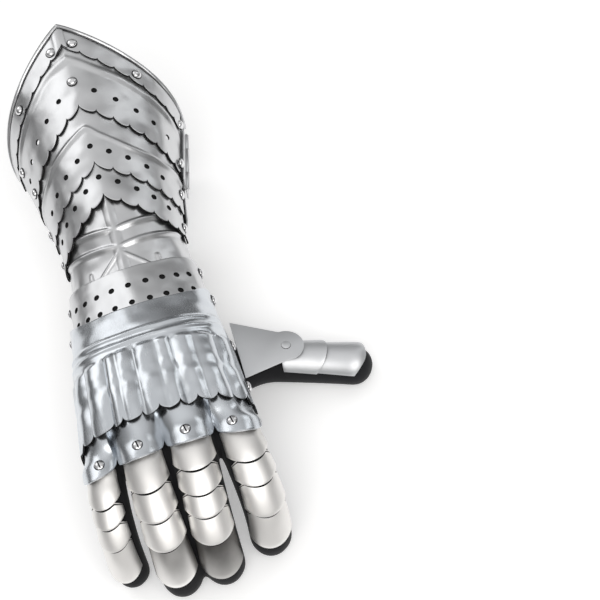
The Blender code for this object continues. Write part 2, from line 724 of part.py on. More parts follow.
def line_slope(line, t):
    """The rate at which a Bezier line moves on."""
    points = [(b - a) * (len(line) - 1) for a, b in zip(line, line[1:])]
    while len(points) > 1:
        points = [a.lerp(b, t) for a, b in zip(points, points[1:])]
    return points[0]


def line_frame(line, t, roll=0):
    """Centre, side and back-of-hand directions at a place on a finger's line, rolled to the thumb side."""
    along = line_slope(line, min(max(t, 0.0), 1.0)).normalized()
    side = Vector((0, 0, 1)).cross(along).normalized()
    back = along.cross(side).normalized()
    turn = radians(roll)
    return on_line(line, t), side * cos(turn) - back * sin(turn), back * cos(turn) + side * sin(turn)


def finger_radius(radius, taper, line, t):
    """Radius of the glove along a finger, rounded off past the end of its line."""
    if t <= 1:
        return radius * (1 - (1 - taper) * max(t, 0.0))
    tip = radius * taper
    past = (t - 1) * line_slope(line, 1.0).length / tip
    return tip * max(0.0, 1 - past * past) ** 0.5


def root_share(t):
    """A finger starts slimmer inside the palm."""
    return 1 - ROOT_SLIMMING * ease((0.06 - t) / 0.2)


def around_finger(turn, spread):
    """How far a glove finger's section stands off, as a share of its radius.

    turn goes round from the back of the finger. The section fills out below the edges of
    the scales, and a thumb spreads toward the fingers near its root.
    """
    below = max(0.0, degrees(pi - abs(turn - pi)) - SCALE_HALF_ANGLE) / (180 - SCALE_HALF_ANGLE)
    bulge = SIDE_BULGE * sin(pi * below)
    return 1 + bulge, 1 + bulge + (spread if sin(turn) < 0 else 0.0)


def tube_mesh(name, line, radius, taper, inset, spread=0.0, roll=0, start=-0.16):
    """A closed glove finger, or the space in it when inset by the leather."""
    end_length = line_slope(line, 1.0).length
    tip = radius * taper
    stops = [start + (1 - start) * i / FINGER_STEPS for i in range(FINGER_STEPS + 1)]
    rings = [(t, finger_radius(radius, taper, line, t) * root_share(t) - inset) for t in stops]
    for turn in (35, 65):
        reach = (tip - inset) * sin(radians(turn))
        rings.append((1 + reach / end_length, (tip - inset) * cos(radians(turn))))
    shape = bmesh.new()
    loops = []
    for t, size in rings:
        centre, side, back = line_frame(line, t, roll)
        loop = []
        for k in range(FINGER_SIDES):
            turn = 2 * pi * k / FINGER_SIDES
            high, wide = around_finger(turn, spread * ease((0.58 - t) / 0.35) * ease((t + 0.1) / 0.3))
            loop.append(shape.verts.new(centre + size * (side * sin(turn) * wide + back * cos(turn) * high)))
        loops.append(loop)
    for first, second in zip(loops, loops[1:]):
        for k in range(FINGER_SIDES):
            after = (k + 1) % FINGER_SIDES
            shape.faces.new((first[k], first[after], second[after], second[k]))
    shape.faces.new(loops[0])
    pole = shape.verts.new(on_line(line, 1 + (tip - inset) / end_length))
    for k in range(FINGER_SIDES):
        shape.faces.new((loops[-1][k], loops[-1][(k + 1) % FINGER_SIDES], pole))
    bmesh.ops.recalc_face_normals(shape, faces=shape.faces)
    mesh = bpy.data.meshes.new(name)
    shape.to_mesh(mesh)
    shape.free()
    return mesh


def palm_mesh(name, inset, open_end):
    """A closed loft through the palm's sections, or the space in it when inset."""
    shape = bmesh.new()
    loops = []
    last = len(PALM_SECTIONS) - 1
    for i, (along, half_width, top, bottom) in enumerate(PALM_SECTIONS):
        y = HAND_LENGTH * along
        if i == 0:
            y += open_end
        if i == last:
            y += inset
        high = HAND_HEIGHT * top - inset
        low = HAND_DEPTH * bottom + inset
        wide = HAND_HALF_WIDTH * half_width - inset
        loop = []
        for k in range(PALM_SIDES):
            turn = 2 * pi * k / PALM_SIDES
            power = 2 / PALM_SQUARENESS
            x = wide * abs(cos(turn)) ** power * (1 if cos(turn) >= 0 else -1)
            z = abs(sin(turn)) ** power * (1 if sin(turn) >= 0 else -1)
            loop.append(shape.verts.new((x, y, (high + low) / 2 + (high - low) / 2 * z)))
        loops.append(loop)
    for first, second in zip(loops, loops[1:]):
        for k in range(PALM_SIDES):
            after = (k + 1) % PALM_SIDES
            shape.faces.new((first[k], first[after], second[after], second[k]))
    shape.faces.new(loops[0])
    shape.faces.new(loops[-1])
    bmesh.ops.recalc_face_normals(shape, faces=shape.faces)
    mesh = bpy.data.meshes.new(name)
    shape.to_mesh(mesh)
    shape.free()
    return mesh


def thumb_line():
    return tuple(Vector((HAND_HALF_WIDTH * across, HAND_LENGTH * along, HAND_DEPTH * up))
                 for across, along, up in THUMB_LINE)


def hide_cutter(name, mesh):
    cutter = bpy.data.objects.new(name, mesh)
    keep_cutter(cutter)
    return cutter


def make_glove():
    glove = add_object("glove", palm_mesh("glove", 0.0, 0.0), materials["black_leather"], "hand")
    tubes = [(name, line, radius, FINGER_TAPER, 0.0, roll) for name, line, radius, roll in finger_lines()]
    tubes.append(("thumb", thumb_line(), THUMB_RADIUS, THUMB_TAPER, THUMB_SPREAD, 0))
    for name, line, radius, taper, spread, roll in tubes:
        cut(glove, hide_cutter("glove_" + name, tube_mesh(name, line, radius, taper, 0.0, spread, roll)), "UNION")
    cut(glove, hide_cutter("palm_space", palm_mesh("palm_space", LEATHER, 0.010)))
    for name, line, radius, taper, spread, roll in tubes:
        space = tube_mesh(name + "_space", line, radius, taper, LEATHER, spread, roll)
        cut(glove, hide_cutter("space_" + name, space))
    return glove


def scale_mesh(name, line, radius, taper, roll, start, end, lift_start, rise):
    """The outside of a scale between two places on a finger's line, rounded at both ends."""
    length = line_slope(line, (start + end) / 2 if end < 1 else 1.0).length
    rounding = SCALE_ROUNDING / length
    root_rounding = 0.4 * rounding

    def place(column, row):
        share = 2 * column / SCALE_COLUMNS - 1
        turn = radians(SCALE_HALF_ANGLE) * share
        low = end - rounding * share * share
        high = start + root_rounding * share * share
        t = low + (high - low) * row / SCALE_ROWS
        lift = rise * max(0.0, (t - lift_start) / (end - lift_start))
        size = finger_radius(radius, taper, line, t) + GLOVE_GAP + SCALE_STEEL + lift
        centre, side, back = line_frame(line, t, roll)
        return centre + size * (side * sin(turn) + back * cos(turn))

    return grid_mesh(name, SCALE_COLUMNS, SCALE_ROWS, place)


def add_scale(name, material, *shape):
    item = add_object(name, scale_mesh(name, *shape), materials[material], "hand")
    add_wall(item, SCALE_STEEL)
    return item


def line_place(line, y):
    """Where a finger's line passes a place along the hand."""
    low, high = 0.0, 1.0
    for _ in range(30):
        middle = (low + high) / 2
        if on_line(line, middle).y > y:
            low = middle
        else:
            high = middle
    return low


def make_finger_scales():
    """Scales that each lap over the next toward the fingertip."""
    first_scales = []
    for name, line, radius, roll in finger_lines():
        before = line_place(line, KNUCKLE_EDGE_Y)
        for i, end in enumerate(FINGER_SCALE_ENDS[name]):
            lap = SCALE_LAP * (end - before)
            start = line_place(line, KNUCKLE_SCREW_Y + SCREW_EDGE) if i == 0 else before - lap
            rise = (SCALE_STEEL + 2 * TOUCH) * (1 + SCALE_LAP)
            scale = add_scale("scale_%s_%d" % (name, i + 1), "scale_steel", line, radius, FINGER_TAPER, roll,
                              start, end, before - lap, rise)
            if i == 0:
                first_scales.append(scale)
            before = end
    return first_scales


def knuckle_columns():
    """Each column of the knuckle plate, from the little finger to the index: its lobe's circle, its turn
    round it, its share of the lobe's width and how far it lies below the lobe's top."""
    lines = sorted(finger_lines(), key=lambda row: row[1][0].x)
    circles = [(line[0].x, line[0].z, knuckle_radius(radius)) for name, line, radius, roll in lines]
    meets = []
    for (x1, z1, r1), (x2, z2, r2) in zip(circles, circles[1:]):
        across, up = x2 - x1, z2 - z1
        gap = (across * across + up * up) ** 0.5
        near = (gap * gap + r1 * r1 - r2 * r2) / (2 * gap)
        high = max(r1 * r1 - near * near, 0.0) ** 0.5
        meets.append((x1 + (across * near - up * high) / gap, z1 + (up * near + across * high) / gap))
    columns = []
    for i, (x, z, radius) in enumerate(circles):
        left = -KNUCKLE_SIDE_TURN if i == 0 else degrees(atan2(meets[i - 1][0] - x, meets[i - 1][1] - z))
        right = KNUCKLE_SIDE_TURN if i == len(circles) - 1 else degrees(atan2(meets[i][0] - x, meets[i][1] - z))
        steps = LOBE_STEPS if i == len(circles) - 1 else LOBE_STEPS - 1
        for k in range(steps + 1):
            turn = left + (right - left) * k / LOBE_STEPS
            outside = (i == 0 and turn < 0) or (i == len(circles) - 1 and turn > 0)
            dip = 0.0 if outside else radius * (1 - cos(radians(turn)))
            columns.append((circles[i], turn, k / LOBE_STEPS, dip))
    return columns


def make_knuckle_plate(hand_plate, first_scales):
    columns = knuckle_columns()
    levels = (KNUCKLE_TOP_Y, (KNUCKLE_TOP_Y + KNUCKLE_BEND_Y) / 2, KNUCKLE_BEND_Y,
              (KNUCKLE_BEND_Y + KNUCKLE_LOBE_Y) / 2, KNUCKLE_LOBE_Y, KNUCKLE_EDGE_Y)
    widest = max(abs(circle[0] + circle[2] * sin(radians(turn))) for circle, turn, share, dip in columns)
    dip_start, dip_full = KNUCKLE_DIP_YS

    def place(column, row):
        (x, z, radius), turn, share, dip = columns[column]
        level = len(levels) - 1 - row
        y = levels[level]
        if row == 0:
            y -= KNUCKLE_ROUNDING * max(0.0, 1 - (2 * share - 1) ** 2) ** 0.5
        across = x + radius * sin(radians(turn))
        lobe_place = Vector((across, y, z + radius * cos(radians(turn))))
        angle = degrees(asin(min(1.0, abs(across) / widest) ** (HAND_SQUARENESS / 2))) * HAND_SIDE / 90
        hand_place = hand_point(y, angle if across > 0 else -angle, -LAYER)
        hand_place.z -= KNUCKLE_DIP * dip * ease((dip_start - y) / (dip_start - dip_full))
        blend = ease((y - KNUCKLE_BEND_Y) / (KNUCKLE_LOBE_Y - KNUCKLE_BEND_Y))
        return hand_place.lerp(lobe_place, blend)

    mesh = grid_mesh("knuckle_plate", len(columns) - 1, len(levels) - 1, place)
    plate = add_object("knuckle_plate", mesh, materials["hand_steel"], "hand")
    add_wall(plate, STEEL)
    for label, sign in (("thumb_side", 1), ("little_side", -1)):
        add_rivet("knuckle_rivet_" + label, hand_point, KNUCKLE_RIVET_Y, sign * 90, 0.0, STEEL + LAYER + TOUCH,
                  "hand", [hand_plate, plate])
    for (name, line, radius, roll), scale in zip(finger_lines(), first_scales):
        top = line[0] + Vector((0, KNUCKLE_SCREW_Y - line[0].y, knuckle_radius(radius)))
        place_on_top = lambda y, angle, out, top=top: top + Vector((angle * 0.001, y - top.y, out))
        add_rivet("knuckle_screw_" + name, place_on_top, KNUCKLE_SCREW_Y, 0, 0.0,
                  STEEL + 2 * TOUCH + SCALE_STEEL, "hand", [plate, scale], head=SCREW_HEAD, dome=SCREW_DOME,
                  tail=0.0)


def make_thumb():
    """The wing plate over the thumb's root, two scales and the rivet that joins them."""
    line = thumb_line()
    tip = 1 + TIP_COVER * THUMB_RADIUS * THUMB_TAPER / line_slope(line, 1.0).length
    scales = []
    for i, (start, end) in enumerate(zip(THUMB_SCALE_STARTS, THUMB_SCALE_ENDS)):
        scales.append(add_scale("scale_thumb_%d" % (i + 1), "thumb_steel", line, THUMB_RADIUS, THUMB_TAPER,
                                0, start, end if i == 0 else tip, start, THUMB_SCALE_RISE))
    rivet_x, rivet_y = WING_RIVET
    turns = even_angles(-WING_END_TURN, WING_END_TURN, 8)
    outline = [(rivet_x + WING_END_RADIUS * cos(radians(a)), rivet_y + WING_END_RADIUS * sin(radians(a)))
               for a in turns]
    outline += [(WING_ROOT_X, WING_ROOT_Y[0]), (WING_ROOT_X, WING_ROOT_Y[1])]
    shape = bmesh.new()
    shape.faces.new([shape.verts.new((x, y, wing_height(x))) for x, y in outline])
    mesh = bpy.data.meshes.new("thumb_wing_plate")
    shape.to_mesh(mesh)
    shape.free()
    wing = add_object("thumb_wing_plate", mesh, materials["thumb_steel"], "hand")
    add_wall(wing, STEEL)
    flat = lambda y, angle, out: Vector((rivet_x + angle * 0.001, y, wing_height(rivet_x + angle * 0.001) + out))
    add_rivet("thumb_rivet", flat, rivet_y, 0, 0.0, STEEL + WING_SCALE_GAP + SCALE_STEEL, "hand",
              [wing, scales[0]], dome=WING_RIVET_DOME, tail=0.0)


def wing_height(x):
    return WING_ROOT_Z - WING_SLOPE * (x - WING_ROOT_X)


def stand_on_floor():
    """Move the whole so that its box stands on Z = 0, centred on X and Y."""
    bpy.context.view_layer.update()
    graph = bpy.context.evaluated_depsgraph_get()
    corners = []
    for item in parts.objects:
        if item.type == "MESH":
            shape = item.evaluated_get(graph)
            corners += [shape.matrix_world @ Vector(corner) for corner in shape.bound_box]
    low = [min(corner[k] for corner in corners) for k in range(3)]
    high = [max(corner[k] for corner in corners) for k in range(3)]
    bodies["cuff"].location = (-(low[0] + high[0]) / 2, -(low[1] + high[1]) / 2, -low[2])


def main():
    global materials, parts, cutters, bodies
    clear_scene()
    materials = make_materials()
    parts = make_collection("armoured_gauntlet")
    cutters = make_collection("cutters")
    bodies = {}
    for name, parent, place in (
            ("cuff", None, (0, 0, 0)),
            ("underarm_plate", "cuff", hinge_frame()[0]),
            ("wrist_lame", "cuff", (0, WRIST_PIVOT_Y, 0)),
            ("hand", "wrist_lame", (0, 0, 0))):
        empty = bpy.data.objects.new("pivot_" + name, None)
        parts.objects.link(empty)
        empty.location = place
        if parent:
            empty.parent = bodies[parent]
            empty.matrix_parent_inverse = bodies[parent].matrix_world.inverted()
        bodies[name] = empty
        bpy.context.view_layer.update()
    ribbed = make_cuff()
    make_underarm()
    lame = make_lame(ribbed)
    hand_plate = make_hand_plate(lame)
    first_scales = make_finger_scales()
    make_knuckle_plate(hand_plate, first_scales)
    make_thumb()
    make_glove()
    stand_on_floor()


main()
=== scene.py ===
from math import asin, atan2, cos, degrees, pi, radians, sin

import bmesh
import bpy
from mathutils import Matrix, Quaternion, Vector


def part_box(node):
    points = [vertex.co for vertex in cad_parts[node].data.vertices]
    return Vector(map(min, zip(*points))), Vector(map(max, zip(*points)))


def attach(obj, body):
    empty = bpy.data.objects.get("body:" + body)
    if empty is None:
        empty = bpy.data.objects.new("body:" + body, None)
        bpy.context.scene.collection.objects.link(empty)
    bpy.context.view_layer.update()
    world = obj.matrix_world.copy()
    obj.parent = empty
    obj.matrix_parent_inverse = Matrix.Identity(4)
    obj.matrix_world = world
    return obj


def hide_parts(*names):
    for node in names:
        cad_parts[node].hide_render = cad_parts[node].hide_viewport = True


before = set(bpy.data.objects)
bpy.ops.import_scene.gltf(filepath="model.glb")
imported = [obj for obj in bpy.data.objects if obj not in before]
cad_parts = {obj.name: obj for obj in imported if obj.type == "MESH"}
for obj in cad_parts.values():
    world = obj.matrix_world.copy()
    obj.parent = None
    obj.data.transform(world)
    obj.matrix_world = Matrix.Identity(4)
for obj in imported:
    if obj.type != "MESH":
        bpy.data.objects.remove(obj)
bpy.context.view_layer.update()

bl_info = {
    "name": "Armoured gauntlet",
    "version": (1, 0, 0),
    "blender": (4, 5, 0),
    "location": "View3D > Sidebar > Gauntlet",
    "description": "Builds a plate gauntlet with a scalloped cuff around its frame",
    "category": "Add Mesh",
}

# Overall sizes in metres. Places are measured from the hand pivot
CUFF_LENGTH = 0.229
CUFF_HALF_WIDTH = 0.0597
CUFF_HEIGHT = 0.0728
CUFF_DEPTH = 0.0500
HAND_LENGTH = 0.130
HAND_HALF_WIDTH = 0.0580
HAND_HEIGHT = 0.0375
HAND_DEPTH = 0.035
FINGER_REACH = 0.0765

# Sheet metal and clearances
STEEL = 0.0012
SCALE_STEEL = 0.0009
LEATHER = 0.0020
LAYER_GAP = 0.0005
WRIST_GAP = 0.0008
TOUCH = 0.0003
LAYER = STEEL + LAYER_GAP
WRIST_LAYER = STEEL + WRIST_GAP
EDGE_ROUNDING = 0.00022
# Wider rounding where a rim is painted shade, which keeps the painted dark line thin
PAINTED_SHADE_EDGE_ROUNDING = 0.00055

# Places along the cuff and hand
WRIST_PIVOT_Y = 0.1131 * CUFF_LENGTH
LOWER_PLATE_RIVET_Y = 0.3013 * CUFF_LENGTH
MIDDLE_PLATE_RIVET_Y = 0.4380 * CUFF_LENGTH
RIDGE_RIVET_Y = 0.7808 * CUFF_LENGTH
HAND_SIDE_RIVET_Y = -0.3177 * HAND_LENGTH
KNUCKLE_RIVET_Y = -0.5846 * HAND_LENGTH
SIDE_RIVET_ANGLE = 88

# Laps, scallops and rims
PLATE_LAP = 0.0065
SIDE_LAP = 0.0175
SIDE_LAP_ANGLES = (68, 82)
SCALLOP_STEPS = 12
SCALLOP_DEPTH = 0.0042
SCALLOP_ROWS = 5
SCALLOP_SETTLING = 0.0022
RIM_CURL = 0.0006
RIM_CURL_TURN = 280
RIM_CURL_ROWS = 9
BORDER_WIDTH = 0.0180
BORDER_SCALLOP = 0.0028
BORDER_PITCH = 9.0
BORDER_RIM_SPACE = 0.0042
BORDER_LAP = 2.6
WRIST_TUCK = 0.0080
TUCK_DROP = 0.0010
TUCK_LENGTH = 0.0160

# Hinge and underarm plate
HINGE_LENGTH = 0.2358 * CUFF_LENGTH
HINGE_START = 0.4956 * CUFF_LENGTH
BARREL_RADIUS = 0.0022
BARREL_STAND_OFF = 0.75 * BARREL_RADIUS
PIN_RADIUS = 0.0010
ROD_ROUNDING = 0.0003
LEAF_THICKNESS = 0.0009
LEAF_WIDTH = 0.0095
LEAF_ROUNDING = 0.0002
LEAF_SET_BACK = 0.0009
PIN_SPARE = 0.002
KNUCKLE_SPLITS = (0.0, 0.28, 0.72, 1.0)
UNDERARM_START = 0.3799 * CUFF_LENGTH
UNDERARM_END = 0.7511 * CUFF_LENGTH
UNDERARM_FREE_LAP = 16
UNDERARM_STEP = 8
UNDERARM_STEPS_BEFORE = 9
UNDERARM_FACET = (160, 200)
UNDERARM_BLEND = 50

CUFF_SECTIONS = (
    # along, half_width, height, ridge
    (-0.131, 0.796, 0.371, 0.010),
    (0.000, 0.762, 0.371, 0.016),
    (0.114, 0.750, 0.371, 0.027),
    (0.201, 0.730, 0.430, 0.041),
    (0.297, 0.720, 0.522, 0.055),
    (0.437, 0.771, 0.611, 0.069),
    (0.590, 0.874, 0.721, 0.082),
    (0.742, 1.000, 0.824, 0.096),
    (1.000, 1.173, 1.000, 0.110),
)
CUFF_EDGES = (
    # turn, rim, upper_plate, middle_plate, lower_plate
    (0.00, 1.000, 0.694, 0.489, 0.378),
    (0.15, 0.950, 0.658, 0.458, 0.351),
    (0.30, 0.905, 0.622, 0.437, 0.329),
    (0.45, 0.866, 0.596, 0.4155, 0.309),
    (0.60, 0.833, 0.570, 0.398, 0.289),
    (0.80, 0.792, 0.540, 0.382, 0.276),
    (1.00, 0.752, 0.526, 0.378, 0.271),
)
RIM, UPPER, MIDDLE, LOWER = 1, 2, 3, 4
WRIST_EDGES = (
    # turn, lame_top, lame_bottom, hand_top
    (0.00, 0.118, -0.072, -0.036),
    (0.28, 0.124, -0.068, -0.033),
    (0.55, 0.140, -0.055, -0.014),
    (0.80, 0.150, -0.040, 0.014),
    (1.00, 0.152, -0.031, 0.028),
)
LAME_TOP, LAME_BOTTOM, HAND_TOP = 1, 2, 3
HAND_SECTIONS = (
    # along, half_width, height
    (-1.060, 1.000, 0.660),
    (-1.000, 1.000, 0.720),
    (-0.730, 0.991, 0.933),
    (-0.575, 0.966, 0.987),
    (-0.318, 0.930, 1.000),
    (-0.120, 0.878, 0.900),
    (0.000, 0.860, 0.850),
    (0.092, 0.857, 0.840),
)
HAND_SQUARENESS = 2.3
HAND_CUSPS = (
    # angle in radians
    -1.75, -1.35, -1.02, -0.80, -0.47, -0.32, -0.11, 0.03, 0.23, 0.42, 0.68, 0.97, 1.18, 1.48, 1.75,
)
HAND_LOBE_STEPS = 14
HAND_LOBE_EDGE = -0.700
HAND_LOBE_DEPTH = 0.0045
RIDGE_SPAN = 60
RIDGE_SOFTNESS = 5
WRIST_SIDE = 100
HAND_SIDE = 101
CUFF_PLATES = (
    # name, edge column, layers out, scallops a side, degrees a scallop, rows of faces
    ("cuff_upper_plate", UPPER, 3, 9, 10.6, 64),
    ("cuff_middle_plate", MIDDLE, 2, 7, 13.3, 44),
    ("cuff_lower_plate", LOWER, 1, 7, 13.9, 26),
)

UPPER_PLATE_SIDE = CUFF_PLATES[0][3] * CUFF_PLATES[0][4]

# Pierced rows: angle from the ridge and place along the cuff of each hole, the same on both sides
UPPER_HOLES = ((12.0, 0.1684), (24.6, 0.1604), (38.0, 0.1528), (51.4, 0.1466), (65.0, 0.1402))
MIDDLE_HOLES = ((0.0, 0.1241), (13.0, 0.1175), (26.7, 0.1120), (41.6, 0.1066), (56.7, 0.1013))
LOWER_HOLES = ((0.0, 0.0997), (14.5, 0.0935), (29.5, 0.0873), (45.0, 0.0822), (61.4, 0.0770))
LAME_UPPER_HOLES = ((0.0, 0.0122), (14.7, 0.0126), (29.4, 0.0136), (43.6, 0.0150), (58.8, 0.0170))
LAME_LOWER_HOLES = ((0.0, -0.0027), (14.8, -0.0026), (29.2, -0.0012), (43.3, 0.0010), (59.5, 0.0038))
HOLE_SIDES = 20
HOLE_EDGE = 0.0003
HOLE_FLARE = 0.0010
# Most holes stop this deep, short of the inside, so that their painted-shade bottoms stand in for the shade
# seen through them; the open holes go right through
HOLE_DEPTH = 0.0010
OPEN_HOLE_DEPTH = 0.0060
OPEN_UPPER_HOLES = ((-65.0, 0.1402), (-51.4, 0.1466), (-38.0, 0.1528), (65.0, 0.1402))

# Raised lines of the cuff
RIM_BEAD_WIDTH = 0.0050
RIM_BEAD_FADE = (70, 18)
MIDDLE_BEAD_WIDTH = 0.0030
RIM_BEAD = (
    # angle, below the rim
    (-60.0, 0.0235), (-17.5, 0.0232), (-8.0, 0.0264), (0.0, 0.0297), (5.0, 0.0293), (15.5, 0.0287),
    (31.0, 0.0258), (70.0, 0.0245),
)
MIDDLE_BEAD = (
    # angle, along
    (-85.0, 0.1130), (-47.4, 0.1202), (-33.7, 0.1269), (-21.6, 0.1314), (-9.9, 0.1357), (0.0, 0.1392),
    (8.7, 0.1322), (21.8, 0.1243), (31.9, 0.1196), (44.2, 0.1167), (66.6, 0.1135), (85.0, 0.1129),
)
WRIST_RIBS = (
    # along on the ridge, rise a degree, last angle, width
    (0.0585, 0.00020, 72, 0.0030),
    (0.0460, 0.00017, 86, 0.0030),
)
RIB_FADE = 12
RIDGE_WIDTH = 0.0040
WRIST_RADIUS = 0.038
# Start on the ridge, rise a degree, last angle, width and height as a share
DIAGONAL = (0.0430, -0.00058, 24, 0.0026, 0.75)
# Angle, lower end, upper end, width and height as a share
SHORT_RIB = (34.0, 0.0295, 0.0385, 0.0022, 0.7)
PANEL_FADE = (82, 12)

# Fluted hand plate
HAND_BEADS = (
    # along, rise a degree past the middle, width, height as a share
    (-0.0318, 0.00010, 0.0026, 1.0),
    (-0.0388, 0.00009, 0.0026, 0.8),
)
HAND_BEAD_FLAT = 12
HAND_RELIEF_FADE = (66, 20)
SHOULDER_Y = -0.0425
SHOULDER_LENGTH = 0.0032
FLUTE_DENT_Y = -0.0670
FLUTE_DENT = (0.35, 0.006)
FLUTE_CREST = 0.62
FLUTE_SHARPNESS = 2.4
FLUTE_VALLEYS = (
    # angle, depth
    (-90.0, 0.30), (-66.0, 0.45), (-45.8, 0.60), (-26.8, 1.00), (-16.5, 0.55), (-5.0, 1.00), (6.5, 0.55),
    (17.5, 1.00), (33.0, 0.60), (55.5, 1.00), (74.0, 0.35), (92.0, 0.30),
)

FINGERS = (
    # name, base_across, tip_across, reach, knuckle_top, radius, bow_across, roll
    ("index", 0.724, 0.716, 0.817, 0.605, 0.0133, 0.100, 14),
    ("middle", 0.236, 0.154, 0.933, 0.800, 0.0133, 0.015, 5),
    ("ring", -0.293, -0.318, 0.918, 0.790, 0.0131, 0.015, -2),
    ("little", -0.759, -0.842, 0.715, 0.565, 0.0108, -0.015, -14),
)
FINGER_SCALE_ENDS = {
    "index": (0.400, 0.564, 0.766, 0.974),
    "middle": (0.344, 0.488, 0.618, 0.774, 0.980),
    "ring": (0.386, 0.564, 0.734, 0.954),
    "little": (0.430, 0.572, 0.728, 0.964),
}
FINGER_START_Y = -0.7692 * HAND_LENGTH
FINGER_ARCH = (0.38, 0.22, 0.62)
FINGER_LEAN = 0.2
FINGER_TAPER = 0.92
ROOT_SLIMMING = 0.45
SIDE_BULGE = 0.13
FINGER_SIDES = 24
FINGER_RINGS = 24
FINGER_ROOT = -0.16
FINGERTIP_TURNS = (15, 30, 45, 58, 70, 80, 86)
GLOVE_GAP = 0.0006
# Width and row of the painted shadow where one scale ends over the next
SHADOW_CRESCENT_WIDTH = 0.0011
SHADOW_CRESCENT_ROW = 9
# Fingertip scales with a painted dark reflection, darkest at their upper ends, with how pale each is
PAINTED_REFLECTION_SCALES = {"scale_middle_5": -0.22, "scale_ring_4": 0.30}
SCALE_HALF_ANGLE = 62
SCALE_COLUMNS = 28
SCALE_ROWS = 12
SCALE_LAP = 0.32
SCALE_ROUNDING = 0.0065
SCALE_EDGE_ROUNDING = 0.00012
TIP_COVER = 0.75
LOBE_STEPS = 24
KNUCKLE_ROWS = 40
KNUCKLE_TOP_Y = -0.5231 * HAND_LENGTH
KNUCKLE_BEND_Y = -0.7346 * HAND_LENGTH
KNUCKLE_LOBE_Y = -0.8385 * HAND_LENGTH
KNUCKLE_EDGE_Y = -0.9077 * HAND_LENGTH
KNUCKLE_SCREW_Y = -0.8500 * HAND_LENGTH
KNUCKLE_DIP_YS = (-0.6350 * HAND_LENGTH, -0.7346 * HAND_LENGTH)
KNUCKLE_DIP = 0.75
KNUCKLE_CUSP_Y = -0.8231 * HAND_LENGTH
KNUCKLE_ROUNDING = 0.0125
KNUCKLE_SIDE_TURN = 84
SCREW_EDGE = 0.0032

THUMB_LINE = (
    # across, along, up from the pivot line, as shares of the hand's half width, length and depth
    (0.45, -0.277, -0.34),
    (0.86, -0.277, -0.69),
    (1.47, -0.308, -1.10),
    (2.21, -0.462, -1.115),
)
THUMB_RADIUS = 0.0129
THUMB_TAPER = 0.96
THUMB_SPREAD = 1.1
THUMB_SCALE_STARTS = (0.60, 0.80)
THUMB_SCALE_ENDS = (0.87, 1.0)
THUMB_SCALE_RISE = 0.0022
WING_ROOT_X = 0.9655 * HAND_HALF_WIDTH
WING_RIVET = (1.5172 * HAND_HALF_WIDTH, -0.3269 * HAND_LENGTH)
WING_END_RADIUS = 0.0120
WING_ROOT_Y = (-0.1154 * HAND_LENGTH, -0.4769 * HAND_LENGTH)
WING_ROOT_Z = -0.2800 * HAND_DEPTH
WING_SLOPE = 0.215
WING_EDGE_ROUNDING = 0.0003

PALM_SECTIONS = (
    # along, half_width, top, bottom
    (-0.045, 0.740, 0.500, -0.54),
    (-0.180, 0.780, 0.640, -0.68),
    (-0.380, 0.800, 0.800, -0.76),
    (-0.620, 0.845, 0.720, -0.76),
    (-0.740, 0.850, 0.500, -0.70),
    (-0.820, 0.800, 0.200, -0.52),
)
PALM_SQUARENESS = 2.6
PALM_SIDES = 48
PALM_RINGS = 30
PALM_MOUTH_SPARE = 0.012
GLOVE_FINENESS = 0.0014

# Small studs on the side of the upper plate, with no part in how the plates are joined
STUDS = (
    # name, along, angle, height above the plate
    ("cuff_stud_upper", 0.1552, -70.7, 0.0),
    ("cuff_stud_lower", 0.1293, -67.3, 0.0),
    ("hinge_stud_upper", 0.1629, 81.9, LEAF_THICKNESS),
    ("hinge_stud_lower", 0.1257, 82.4, LEAF_THICKNESS),
)
BORDER_RIVETS = (
    # name, angle, below the rim
    ("thumb_side_peak", 5.8, 0.0138),
    ("thumb_side", 40.9, 0.0130),
    ("little_side_peak", -7.6, 0.0140),
    ("little_side", -40.6, 0.0120),
)
SCREW_PROFILE = (
    # radius, height
    (0.0, 0.0015), (0.0013, 0.0014), (0.0024, 0.0010), (0.0032, 0.0004), (0.0035, 0.0), (0.0012, 0.0),
    (0.0012, -0.0032), (0.0, -0.0032),
)
FLAT_RIVET_PROFILE = (
    # radius, height
    (0.0, 0.0007), (0.0026, 0.00065), (0.0031, 0.0004), (0.0033, 0.0), (0.0012, 0.0), (0.0012, -0.0034),
    (0.0, -0.0034),
)
RIVET_SHANK = 0.0012
RIVET_TAIL = 0.0019
RIVET_TAIL_END = 0.0017
RIVET_TAIL_HEIGHT = 0.0006
PIVOT_GRIP = 0.0052
# Radius past which each head is painted shade, as a dark outline, as a share of a domed rivet's or as it is
RIVET_SHADE_RING = 0.90
SCREW_SHADE_RING = 0.0031
FLAT_RIVET_SHADE_RING = 0.0030
SCREW_SLOT = (0.0009, 0.0090, 0.0014)
SCREW_SLOT_TURN = 12

# Camera, read off the photograph's perspective
CAMERA_PLACE = Vector((0.0868, -0.5157, 0.6669))
CAMERA_DIRECTION = Vector((0.0236, 0.5943, -0.8039))
CAMERA_ROLL = -16.27
CAMERA_LENS = 73.98
SENSOR_WIDTH = 36
FLOOR_SIZE = 6
LAMPS_AIM = Vector((0, 0, 0.05))
LAMPS = (
    # name, place, width, height, setting for its power, tone
    ("key", (-0.66, 0.78, 0.86), 0.80, 0.80, "key_power", (1.0, 1.0, 1.0)),
    ("front", (0.05, -1.00, 1.15), 1.70, 0.75, "front_power", (1.0, 0.985, 0.965)),
    ("strip", (1.00, 0.62, 0.70), 0.22, 0.90, "strip_power", (0.97, 0.99, 1.0)),
)

WORLD_TONES = (
    # height of the direction, brightness
    (0.00, 0.10),
    (0.22, 0.15),
    (0.60, 0.38),
    (1.00, 0.85),
)


def pivot_place():
    """The point midway between the two rivets that the hand turns on."""
    low_a, high_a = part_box("hand_pivot_rivet_thumb_side")
    low_b, high_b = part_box("hand_pivot_rivet_little_side")
    return (low_a + high_a + low_b + high_b) / 4


PIVOT = pivot_place()


